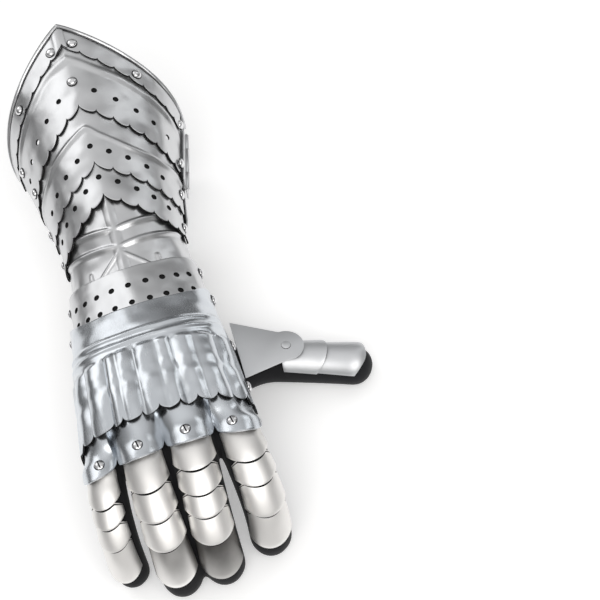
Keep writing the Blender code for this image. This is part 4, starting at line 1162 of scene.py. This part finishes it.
def finger_lines():
    """For each finger: its name, centre line, radius and roll."""
    lines = []
    floor = -(CUFF_DEPTH + LAYER)
    root_reach, tip_reach, tip_drop = FINGER_ARCH
    for name, base, tip, reach, top, radius, bow, roll in FINGERS:
        height = HAND_HEIGHT * top - knuckle_radius(radius)
        start = Vector((HAND_HALF_WIDTH * base, FINGER_START_Y, height))
        length = FINGER_REACH * reach
        end = Vector((HAND_HALF_WIDTH * tip, FINGER_START_Y - length, floor + radius * FINGER_TAPER))
        drop = start.z - end.z
        lean = end.x - start.x
        aside = HAND_HALF_WIDTH * bow
        out = start + Vector((FINGER_LEAN * lean, -root_reach * length, 0))
        back = end + Vector((aside - FINGER_LEAN * lean, tip_reach * length, tip_drop * drop))
        lines.append((name, (start, out, back, end), radius, roll))
    return lines


def knuckle_radius(radius):
    """Outside radius of the knuckle plate's lobe over a finger."""
    return radius + GLOVE_GAP + SCALE_STEEL + 3 * TOUCH + STEEL


def blend_points(points, t):
    """The place on a Bezier curve through these control points."""
    while len(points) > 1:
        points = [a.lerp(b, t) for a, b in zip(points, points[1:])]
    return points[0]


def line_slope(line, t):
    """The rate at which a Bezier line moves on."""
    return blend_points([(b - a) * (len(line) - 1) for a, b in zip(line, line[1:])], t)


def on_line(line, t):
    """A point on a Bezier line, carried straight on past its ends."""
    inside = min(max(t, 0.0), 1.0)
    return blend_points(line, inside) + (t - inside) * line_slope(line, inside)


def line_frame(line, t, roll=0):
    """Centre, side and back-of-hand directions at a place on a finger's line, rolled about it."""
    along = line_slope(line, min(max(t, 0.0), 1.0)).normalized()
    side = Vector((0, 0, 1)).cross(along).normalized()
    back = along.cross(side).normalized()
    turn = radians(roll)
    return on_line(line, t), side * cos(turn) - back * sin(turn), back * cos(turn) + side * sin(turn)


def line_place(line, y):
    """Where a finger's line passes a place along the hand."""
    low, high = 0.0, 1.0
    for _ in range(30):
        middle = (low + high) / 2
        if on_line(line, middle).y > y:
            low = middle
        else:
            high = middle
    return low


def finger_radius(radius, taper, line, t):
    """Radius of the glove along a finger, rounded off past the end of its line."""
    if t <= 1:
        return radius * (1 - (1 - taper) * max(t, 0.0))
    tip = radius * taper
    past = (t - 1) * line_slope(line, 1.0).length / tip
    return tip * max(0.0, 1 - past * past) ** 0.5


def make_scale(name, slot, line, radius, taper, roll, start, end, lift_start, rise, before=None):
    """A scale between two places on a finger's line, rounded at both ends, with a crescent of painted
    shadow where the scale before it ends."""
    length = line_slope(line, (start + end) / 2 if end < 1 else 1.0).length
    rounding = SCALE_ROUNDING / length
    root_rounding = 0.4 * rounding

    def place(column, row):
        share = 2 * column / SCALE_COLUMNS - 1
        turn = radians(SCALE_HALF_ANGLE) * share
        low = end - rounding * share * share
        high = start + root_rounding * share * share
        if before is None:
            t = low + (high - low) * row / SCALE_ROWS
        else:
            least = 0.0003 / length
            arc = max(before - rounding * share * share, high + 2 * least)
            shade = arc + max(SHADOW_CRESCENT_WIDTH / length * (1 - 0.75 * share * share), least)
            t = shade + (low - shade) * (1 - row / SHADOW_CRESCENT_ROW) if row <= SHADOW_CRESCENT_ROW else (
                arc + (high - arc) * (row - SHADOW_CRESCENT_ROW - 1) / (SCALE_ROWS - SHADOW_CRESCENT_ROW - 1))
        lift = rise * max(0.0, (t - lift_start) / (end - lift_start))
        size = finger_radius(radius, taper, line, t) + GLOVE_GAP + SCALE_STEEL + lift
        centre, side, back = line_frame(line, t, roll)
        return centre + size * (side * sin(turn) + back * cos(turn))

    scale = sheet_grid(SCALE_COLUMNS, SCALE_ROWS, place)
    # The crescent row is painted shadow where the scale before ends; the rim below is painted shade as well
    for face in scale.data.polygons:
        face.material_index = int(bool(before) and face.index // SCALE_COLUMNS == SHADOW_CRESCENT_ROW)
    thicken(scale, SCALE_STEEL, name if name in PAINTED_REFLECTION_SCALES else slot, SCALE_EDGE_ROUNDING, painted_shade_edge=True)
    keep(scale, "hand", slot, name)


def make_finger_scales():
    """Scales that each lap over the next toward the fingertip."""
    for name, line, radius, roll in finger_lines():
        before = line_place(line, KNUCKLE_EDGE_Y)
        for i, end in enumerate(FINGER_SCALE_ENDS[name]):
            lap = SCALE_LAP * (end - before)
            ended = None if i == 0 else before
            start = line_place(line, KNUCKLE_SCREW_Y + SCREW_EDGE) if i == 0 else before - lap
            rise = (SCALE_STEEL + 2 * TOUCH) * (1 + SCALE_LAP)
            make_scale("scale_%s_%d" % (name, i + 1), "scale_steel", line, radius, FINGER_TAPER, roll,
                       start, end, before - lap, rise, ended)
            before = end


def knuckle_columns():
    """Each column of the knuckle plate, from the little finger to the index: its lobe's circle, its turn
    round it, its share of the lobe's width and how far it lies below the lobe's top."""
    lines = sorted(finger_lines(), key=lambda row: row[1][0].x)
    circles = [(line[0].x, line[0].z, knuckle_radius(radius)) for name, line, radius, roll in lines]
    meets = []
    for (x1, z1, r1), (x2, z2, r2) in zip(circles, circles[1:]):
        across, up = x2 - x1, z2 - z1
        gap = (across * across + up * up) ** 0.5
        near = (gap * gap + r1 * r1 - r2 * r2) / (2 * gap)
        high = max(r1 * r1 - near * near, 0.0) ** 0.5
        meets.append((x1 + (across * near - up * high) / gap, z1 + (up * near + across * high) / gap))
    columns = []
    last = len(circles) - 1
    for i, (x, z, radius) in enumerate(circles):
        left = -KNUCKLE_SIDE_TURN if i == 0 else degrees(atan2(meets[i - 1][0] - x, meets[i - 1][1] - z))
        right = KNUCKLE_SIDE_TURN if i == last else degrees(atan2(meets[i][0] - x, meets[i][1] - z))
        for k in range(LOBE_STEPS + 1 if i == last else LOBE_STEPS):
            turn = left + (right - left) * k / LOBE_STEPS
            outside = (i == 0 and turn < 0) or (i == last and turn > 0)
            dip = 0.0 if outside else radius * (1 - cos(radians(turn)))
            columns.append((circles[i], turn, k / LOBE_STEPS, dip))
    return columns


def make_knuckle_plate():
    columns = knuckle_columns()
    widest = max(abs(circle[0] + circle[2] * sin(radians(turn))) for circle, turn, share, dip in columns)
    dip_start, dip_full = KNUCKLE_DIP_YS

    def place(column, row):
        (x, z, radius), turn, share, dip = columns[column]
        rounding = KNUCKLE_ROUNDING * max(0.0, 1 - (2 * share - 1) ** 2) ** 0.5
        edge = KNUCKLE_CUSP_Y - rounding
        y = edge + (KNUCKLE_TOP_Y - edge) * row / KNUCKLE_ROWS
        across = x + radius * sin(radians(turn))
        lobe_place = Vector((across, y, z + radius * cos(radians(turn))))
        angle = degrees(asin(min(1.0, abs(across) / widest) ** (HAND_SQUARENESS / 2))) * HAND_SIDE / 90
        hand_place = hand_point(y, angle if across > 0 else -angle, -LAYER)
        hand_place.z -= KNUCKLE_DIP * dip * ease((dip_start - y) / (dip_start - dip_full))
        blend = ease((y - KNUCKLE_BEND_Y) / (KNUCKLE_LOBE_Y - KNUCKLE_BEND_Y))
        return hand_place.lerp(lobe_place, blend)

    plate = sheet_grid(len(columns) - 1, KNUCKLE_ROWS, place)
    thicken(plate, STEEL, "hand_steel")
    keep(plate, "hand", "hand_steel", "knuckle_plate", 32)


# Thumb

def wing_height(x):
    return WING_ROOT_Z - WING_SLOPE * (x - WING_ROOT_X)


def thumb_line():
    return tuple(Vector((HAND_HALF_WIDTH * across, HAND_LENGTH * along, HAND_DEPTH * up))
                 for across, along, up in THUMB_LINE)


def make_thumb():
    """The wing plate over the thumb's root and the thumb's two scales."""
    rivet_x, rivet_y = WING_RIVET
    outline = []
    for angle in even_steps(-100, 100, 48):
        turn = radians(angle)
        outline.append((rivet_x + WING_END_RADIUS * cos(turn), rivet_y + WING_END_RADIUS * sin(turn)))
    outline += [(WING_ROOT_X, y) for y in WING_ROOT_Y]
    deselect()
    bpy.ops.mesh.primitive_circle_add(vertices=len(outline), radius=1, fill_type="NGON")
    wing = bpy.context.object
    for vertex, (x, y) in zip(wing.data.vertices, outline):
        vertex.co = Vector((x, y, wing_height(x))) + PIVOT
    reshape(wing, (bpy.ops.mesh.normals_make_consistent, {"inside": False}))
    if wing.data.polygons[0].normal.z < 0:
        wing.data.flip_normals()
    thicken(wing, STEEL, "thumb_steel", WING_EDGE_ROUNDING)
    keep(wing, "hand", "thumb_steel", "thumb_wing_plate")
    line = thumb_line()
    tip = 1 + TIP_COVER * THUMB_RADIUS * THUMB_TAPER / line_slope(line, 1.0).length
    for i, (start, end) in enumerate(zip(THUMB_SCALE_STARTS, THUMB_SCALE_ENDS)):
        make_scale("scale_thumb_%d" % (i + 1), "thumb_steel", line, THUMB_RADIUS, THUMB_TAPER, 0, start,
                   end if i == 0 else tip, start, THUMB_SCALE_RISE)


# Rivets and screws

def turned_piece(profile, place, direction, paint, ring, steps=28):
    """A piece turned from a profile of radius and height, painted shade outside the ring's radius as a dark
    outline.
    """
    deselect()
    bpy.ops.mesh.primitive_circle_add(vertices=len(profile), radius=1)
    piece = bpy.context.object
    shape = bmesh.new()
    line = [shape.verts.new((radius, 0, height)) for radius, height in profile]
    for first, second in zip(line, line[1:]):
        shape.edges.new((first, second))
    shape.to_mesh(piece.data)
    shape.free()
    apply_modifier(piece, "SCREW", axis="Z", angle=2 * pi, steps=steps, render_steps=steps,
                   use_merge_vertices=True, merge_threshold=0.00001)
    reshape(piece, (bpy.ops.mesh.remove_doubles, {"threshold": 0.000005}),
            (bpy.ops.mesh.normals_make_consistent, {"inside": False}))
    give_paints(piece, paint, "inside_steel")
    for face in piece.data.polygons:
        face.material_index = int(face.center.xy.length > ring)
    place_upright(piece, place, direction)
    return piece


def dome_profile(head, dome, grip):
    """A dome on a thin flat collar, with a plain shank and a small tail inside."""
    arc = [(head * 0.88 * sin(radians(a)), dome * (0.16 + 0.84 * cos(radians(a)))) for a in range(0, 91, 9)]
    end = -grip - RIVET_TAIL_HEIGHT
    return arc + [(head, dome * 0.14), (head, 0.0), (RIVET_SHANK, 0.0), (RIVET_SHANK, -grip),
                  (RIVET_TAIL, -grip), (RIVET_TAIL_END, end), (0.0, end)]


def rivet_places():
    """Name, surface, along, angle, out, body, grip and whether it is a pivot, for each domed rivet."""
    rows = [("ridge_rivet", cuff_point, RIDGE_RIVET_Y, 0, 3 * LAYER, "cuff", STEEL, False)]
    for label, angle, below in BORDER_RIVETS:
        rows.append(("border_rivet_" + label, cuff_point, cuff_edge(RIM, angle) - below, angle,
                     border_out(angle, angle), "cuff", 3 * STEEL, False))
    for label, sign in (("thumb_side", 1), ("little_side", -1)):
        side = sign * SIDE_RIVET_ANGLE
        rows += [
            ("middle_plate_rivet_" + label, cuff_point, MIDDLE_PLATE_RIVET_Y, side, 2 * LAYER, "cuff",
             2 * LAYER, False),
            ("lower_plate_rivet_" + label, cuff_point, LOWER_PLATE_RIVET_Y, side, LAYER, "cuff",
             2 * LAYER, False),
            ("wrist_rivet_" + label, cuff_point, WRIST_PIVOT_Y, sign * 90, WRIST_LAYER, "wrist_lame",
             2 * STEEL + WRIST_GAP + TUCK_DROP, True),
            ("hand_pivot_rivet_" + label, hand_point, 0.0, sign * 90, 0.0, "hand", PIVOT_GRIP, True),
            ("hand_side_rivet_" + label, hand_point, HAND_SIDE_RIVET_Y, sign * 90, 0.0, "hand", STEEL,
             False),
            ("knuckle_rivet_" + label, hand_point, KNUCKLE_RIVET_Y, sign * 90, 0.0, "hand",
             STEEL + LAYER, False),
        ]
    for name, y, angle, height in STUDS:
        rows.append((name, cuff_point, y, angle, 3 * LAYER + height, "cuff", STEEL, False))
    return rows


def make_rivets():
    sizes = bpy.context.scene.gauntlet_sizes
    for name, surface, y, angle, out, body, grip, pivot in rivet_places():
        point = surface(y, angle, out)
        direction = normal_at(surface, y, angle, out)
        if pivot:
            direction = Vector((1 if angle > 0 else -1, 0, 0))
        profile = dome_profile(sizes.rivet_radius, sizes.rivet_dome, grip + RIVET_TAIL_HEIGHT)
        rivet = turned_piece(profile, point, direction, "rivet_steel", RIVET_SHADE_RING * sizes.rivet_radius)
        keep(rivet, body, "rivet_steel", name, 40)


def make_screws():
    """Slotted screws on the knuckles and the flat rivet of the thumb."""
    for name, line, radius, roll in finger_lines():
        top = line[0] + Vector((0, KNUCKLE_SCREW_Y - line[0].y, knuckle_radius(radius)))
        screw = turned_piece(SCREW_PROFILE, top, Vector((0, 0, 1)), "rivet_steel", SCREW_SHADE_RING, 32)
        deselect()
        bpy.ops.mesh.primitive_cube_add(size=1)
        slot = bpy.context.object
        give_paints(slot, "rivet_steel", "inside_steel")
        # The slot's walls and floor are painted shade
        for face in slot.data.polygons:
            face.material_index = 1
        slot.data.transform(Matrix.Diagonal((*SCREW_SLOT, 1)))
        slot.data.transform(Matrix.Translation(top + PIVOT + Vector((0, 0, SCREW_SLOT[2])))
                            @ Matrix.Rotation(radians(SCREW_SLOT_TURN), 4, "Z"))
        cut_away(screw, slot)
        keep(screw, "hand", "rivet_steel", "knuckle_screw_" + name)
    rivet_x, rivet_y = WING_RIVET
    place = Vector((rivet_x, rivet_y, wing_height(rivet_x)))
    direction = Vector((WING_SLOPE, 0, 1)).normalized()
    rivet = turned_piece(FLAT_RIVET_PROFILE, place, direction, "thumb_steel", FLAT_RIVET_SHADE_RING, 32)
    keep(rivet, "hand", "rivet_steel", "thumb_rivet")


# Glove

def around_finger(turn, spread):
    """How far a glove finger's section stands off up and across, as a share of its radius."""
    below = max(0.0, degrees(pi - abs(turn - pi)) - SCALE_HALF_ANGLE) / (180 - SCALE_HALF_ANGLE)
    bulge = SIDE_BULGE * sin(pi * below)
    return 1 + bulge, 1 + bulge + (spread if sin(turn) < 0 else 0.0)


def closed_loft(loops):
    """A closed body through loops of points."""
    shape = bmesh.new()
    rings = [[shape.verts.new(point + PIVOT) for point in loop] for loop in loops]
    count = len(loops[0])
    for first, second in zip(rings, rings[1:]):
        for k in range(count):
            after = (k + 1) % count
            shape.faces.new((first[k], first[after], second[after], second[k]))
    shape.faces.new(rings[0])
    shape.faces.new(rings[-1])
    bmesh.ops.recalc_face_normals(shape, faces=shape.faces)
    mesh = bpy.data.meshes.new("loft")
    shape.to_mesh(mesh)
    shape.free()
    piece = bpy.data.objects.new("loft", mesh)
    bpy.context.collection.objects.link(piece)
    return piece


def finger_tube(line, radius, taper, spread=0.0, roll=0):
    """A closed glove finger."""
    end_length = line_slope(line, 1.0).length
    tip = radius * taper
    rings = [(t, finger_radius(radius, taper, line, t) * (1 - ROOT_SLIMMING * ease((0.06 - t) / 0.2)))
             for t in even_steps(FINGER_ROOT, 1.0, FINGER_RINGS)]
    for turn in FINGERTIP_TURNS:
        rings.append((1 + tip * sin(radians(turn)) / end_length, tip * cos(radians(turn))))
    loops = []
    for t, size in rings:
        centre, side, back = line_frame(line, t, roll)
        widening = spread * ease((0.58 - t) / 0.35) * ease((t + 0.1) / 0.3)
        loop = []
        for k in range(FINGER_SIDES):
            turn = 2 * pi * k / FINGER_SIDES
            high, wide = around_finger(turn, widening)
            loop.append(centre + size * (side * sin(turn) * wide + back * cos(turn) * high))
        loops.append(loop)
    return closed_loft(loops)


def palm_body():
    """The glove's palm, closed, and longer than the glove at its mouth, where it is cut later."""
    first, last = PALM_SECTIONS[-1][0], PALM_SECTIONS[0][0]
    loops = []
    for along in even_steps(first, last, PALM_RINGS):
        y = HAND_LENGTH * along + (PALM_MOUTH_SPARE if along > last - 0.001 else 0.0)
        high = HAND_HEIGHT * smooth(PALM_SECTIONS, 2, along)
        low = HAND_DEPTH * smooth(PALM_SECTIONS, 3, along)
        wide = HAND_HALF_WIDTH * smooth(PALM_SECTIONS, 1, along)
        loop = []
        for k in range(PALM_SIDES):
            turn = 2 * pi * k / PALM_SIDES
            x = wide * signed_power(cos(turn), 2 / PALM_SQUARENESS)
            z = signed_power(sin(turn), 2 / PALM_SQUARENESS)
            loop.append(Vector((x, y, (high + low) / 2 + (high - low) / 2 * z)))
        loops.append(loop)
    return closed_loft(loops)


def make_glove():
    """The palm, four fingers and thumb run together, opened at the wrist and given the leather's wall."""
    parts = [palm_body()]
    for name, line, radius, roll in finger_lines():
        parts.append(finger_tube(line, radius, FINGER_TAPER, roll=roll))
    parts.append(finger_tube(thumb_line(), THUMB_RADIUS, THUMB_TAPER, THUMB_SPREAD))
    glove = join(parts)
    apply_modifier(glove, "REMESH", mode="VOXEL", voxel_size=GLOVE_FINENESS)
    apply_modifier(glove, "SMOOTH", factor=0.5, iterations=8)
    mouth = HAND_LENGTH * PALM_SECTIONS[0][0] + PIVOT.y
    reshape(glove, (bpy.ops.mesh.bisect, {
        "plane_co": (0, mouth, 0), "plane_no": (0, 1, 0), "clear_outer": True}))
    thicken(glove, LEATHER, rounding=0)
    keep(glove, "hand", "black_leather", "glove", 60)


# Stage

def make_stage():
    stage = bpy.context.scene.gauntlet_stage
    deselect()
    bpy.ops.mesh.primitive_plane_add(size=FLOOR_SIZE)
    floor = bpy.context.object
    floor.name = "floor"
    paint = Paint("pale_floor")
    paint.set(Base_Color=(*stage.floor_colour, 1), Roughness=0.9, Specular_IOR_Level=0.1,
              Emission_Color=(1, 1, 1, 1), Emission_Strength=stage.floor_glow)
    floor.data.materials.append(paint.material)
    for name, place, wide, tall, setting, tone in LAMPS:
        light = bpy.data.lights.new(name, "AREA")
        light.shape = "RECTANGLE"
        light.size = wide
        light.size_y = tall
        light.energy = getattr(stage, setting)
        light.color = tone
        lamp = bpy.data.objects.new(name, light)
        bpy.context.collection.objects.link(lamp)
        lamp.location = place
        lamp.rotation_euler = (LAMPS_AIM - Vector(place)).to_track_quat("-Z", "Y").to_euler()
    world = bpy.data.worlds.new("soft_studio")
    bpy.context.scene.world = world
    world.use_nodes = True
    tree = world.node_tree
    own = tree.nodes.new("ShaderNodeTexCoord")
    split = tree.nodes.new("ShaderNodeSeparateXYZ")
    ramp = tree.nodes.new("ShaderNodeValToRGB")
    ramp.color_ramp.elements.new(0.5)
    ramp.color_ramp.elements.new(0.75)
    for stop, (place, tone) in zip(ramp.color_ramp.elements, WORLD_TONES):
        stop.position = place
        stop.color = (tone, tone, tone, 1)
    tree.links.new(own.outputs["Generated"], split.inputs[0])
    tree.links.new(split.outputs["Z"], ramp.inputs[0])
    tree.links.new(ramp.outputs[0], tree.nodes["Background"].inputs["Color"])
    tree.nodes["Background"].inputs["Strength"].default_value = stage.world_strength
    camera = bpy.data.objects.new("camera", bpy.data.cameras.new("camera"))
    bpy.context.collection.objects.link(camera)
    camera.data.lens = CAMERA_LENS
    camera.data.sensor_width = SENSOR_WIDTH
    camera.data.clip_start = 0.01
    camera.location = CAMERA_PLACE + PIVOT
    camera.rotation_mode = "QUATERNION"
    roll = Quaternion((0, 0, 1), radians(CAMERA_ROLL))
    camera.rotation_quaternion = CAMERA_DIRECTION.to_track_quat("-Z", "Y") @ roll
    bpy.context.scene.camera = camera
    bpy.context.scene.view_settings.view_transform = "Standard"


# Operators and panel

class GAUNTLET_OT_cuff_plates(bpy.types.Operator):
    """Build the three pierced and scalloped cuff plates"""
    bl_idname = "gauntlet.cuff_plates"
    bl_label = "Cuff plates"

    def execute(self, context):
        make_cuff_plates()
        return {"FINISHED"}


class GAUNTLET_OT_ribbed_wrist(bpy.types.Operator):
    """Build the wrist plate with its ridge and ribs"""
    bl_idname = "gauntlet.ribbed_wrist"
    bl_label = "Ribbed wrist plate"

    def execute(self, context):
        make_ribbed_wrist_plate()
        return {"FINISHED"}


class GAUNTLET_OT_border_bands(bpy.types.Operator):
    """Build the two scalloped bands along the rim"""
    bl_idname = "gauntlet.border_bands"
    bl_label = "Border bands"

    def execute(self, context):
        make_border_bands()
        return {"FINISHED"}


class GAUNTLET_OT_hinge(bpy.types.Operator):
    """Build the hinge's leaves and pin"""
    bl_idname = "gauntlet.hinge"
    bl_label = "Hinge"

    def execute(self, context):
        make_hinge()
        return {"FINISHED"}


class GAUNTLET_OT_underarm_plate(bpy.types.Operator):
    """Build the plate that closes the cuff underneath"""
    bl_idname = "gauntlet.underarm_plate"
    bl_label = "Underarm plate"

    def execute(self, context):
        make_underarm_plate()
        return {"FINISHED"}


class GAUNTLET_OT_wrist_lame(bpy.types.Operator):
    """Build the pierced wrist lame"""
    bl_idname = "gauntlet.wrist_lame"
    bl_label = "Wrist lame"

    def execute(self, context):
        make_wrist_lame()
        return {"FINISHED"}


class GAUNTLET_OT_hand_plate(bpy.types.Operator):
    """Build the fluted hand plate"""
    bl_idname = "gauntlet.hand_plate"
    bl_label = "Hand plate"

    def execute(self, context):
        make_hand_plate()
        return {"FINISHED"}


class GAUNTLET_OT_knuckle_plate(bpy.types.Operator):
    """Build the four-lobed knuckle plate"""
    bl_idname = "gauntlet.knuckle_plate"
    bl_label = "Knuckle plate"

    def execute(self, context):
        make_knuckle_plate()
        return {"FINISHED"}


class GAUNTLET_OT_finger_scales(bpy.types.Operator):
    """Build the lapping scales of the fingers"""
    bl_idname = "gauntlet.finger_scales"
    bl_label = "Finger scales"

    def execute(self, context):
        make_finger_scales()
        return {"FINISHED"}


class GAUNTLET_OT_thumb(bpy.types.Operator):
    """Build the thumb's wing plate and scales"""
    bl_idname = "gauntlet.thumb"
    bl_label = "Thumb"

    def execute(self, context):
        make_thumb()
        return {"FINISHED"}


class GAUNTLET_OT_rivets(bpy.types.Operator):
    """Build the domed rivets"""
    bl_idname = "gauntlet.rivets"
    bl_label = "Rivets"

    def execute(self, context):
        make_rivets()
        return {"FINISHED"}


class GAUNTLET_OT_screws(bpy.types.Operator):
    """Build the slotted screws and the thumb's flat rivet"""
    bl_idname = "gauntlet.screws"
    bl_label = "Screws"

    def execute(self, context):
        make_screws()
        return {"FINISHED"}


class GAUNTLET_OT_glove(bpy.types.Operator):
    """Build the leather glove"""
    bl_idname = "gauntlet.glove"
    bl_label = "Glove"

    def execute(self, context):
        make_glove()
        return {"FINISHED"}


class GAUNTLET_OT_stage(bpy.types.Operator):
    """Build the floor, lights and camera"""
    bl_idname = "gauntlet.stage"
    bl_label = "Stage"

    def execute(self, context):
        make_stage()
        return {"FINISHED"}


class GAUNTLET_PT_sidebar(bpy.types.Panel):
    """The gauntlet's sizes, finishes and building steps"""
    bl_idname = "GAUNTLET_PT_sidebar"
    bl_label = "Armoured gauntlet"
    bl_space_type = "VIEW_3D"
    bl_region_type = "UI"
    bl_category = "Gauntlet"

    def draw(self, context):
        scene = context.scene
        for group in (scene.gauntlet_sizes, scene.gauntlet_finishes, scene.gauntlet_stage):
            box = self.layout.box()
            for name in group.__annotations__:
                box.prop(group, name)
        for operator in OPERATORS:
            self.layout.operator(operator.bl_idname)


OPERATORS = (
    GAUNTLET_OT_cuff_plates,
    GAUNTLET_OT_ribbed_wrist,
    GAUNTLET_OT_border_bands,
    GAUNTLET_OT_hinge,
    GAUNTLET_OT_underarm_plate,
    GAUNTLET_OT_wrist_lame,
    GAUNTLET_OT_hand_plate,
    GAUNTLET_OT_knuckle_plate,
    GAUNTLET_OT_finger_scales,
    GAUNTLET_OT_thumb,
    GAUNTLET_OT_rivets,
    GAUNTLET_OT_screws,
    GAUNTLET_OT_glove,
    GAUNTLET_OT_stage,
)
CLASSES = (GauntletSizes, GauntletFinishes, GauntletStage, *OPERATORS, GAUNTLET_PT_sidebar)


def register():
    for group in CLASSES:
        bpy.utils.register_class(group)
    bpy.types.Scene.gauntlet_sizes = bpy.props.PointerProperty(type=GauntletSizes)
    bpy.types.Scene.gauntlet_finishes = bpy.props.PointerProperty(type=GauntletFinishes)
    bpy.types.Scene.gauntlet_stage = bpy.props.PointerProperty(type=GauntletStage)


def unregister():
    del bpy.types.Scene.gauntlet_sizes
    del bpy.types.Scene.gauntlet_finishes
    del bpy.types.Scene.gauntlet_stage
    for group in reversed(CLASSES):
        bpy.utils.unregister_class(group)


def main():
    register()
    for operator in OPERATORS:
        getattr(bpy.ops.gauntlet, operator.bl_idname.split(".")[1])()


if __name__ == "__main__":
    main()
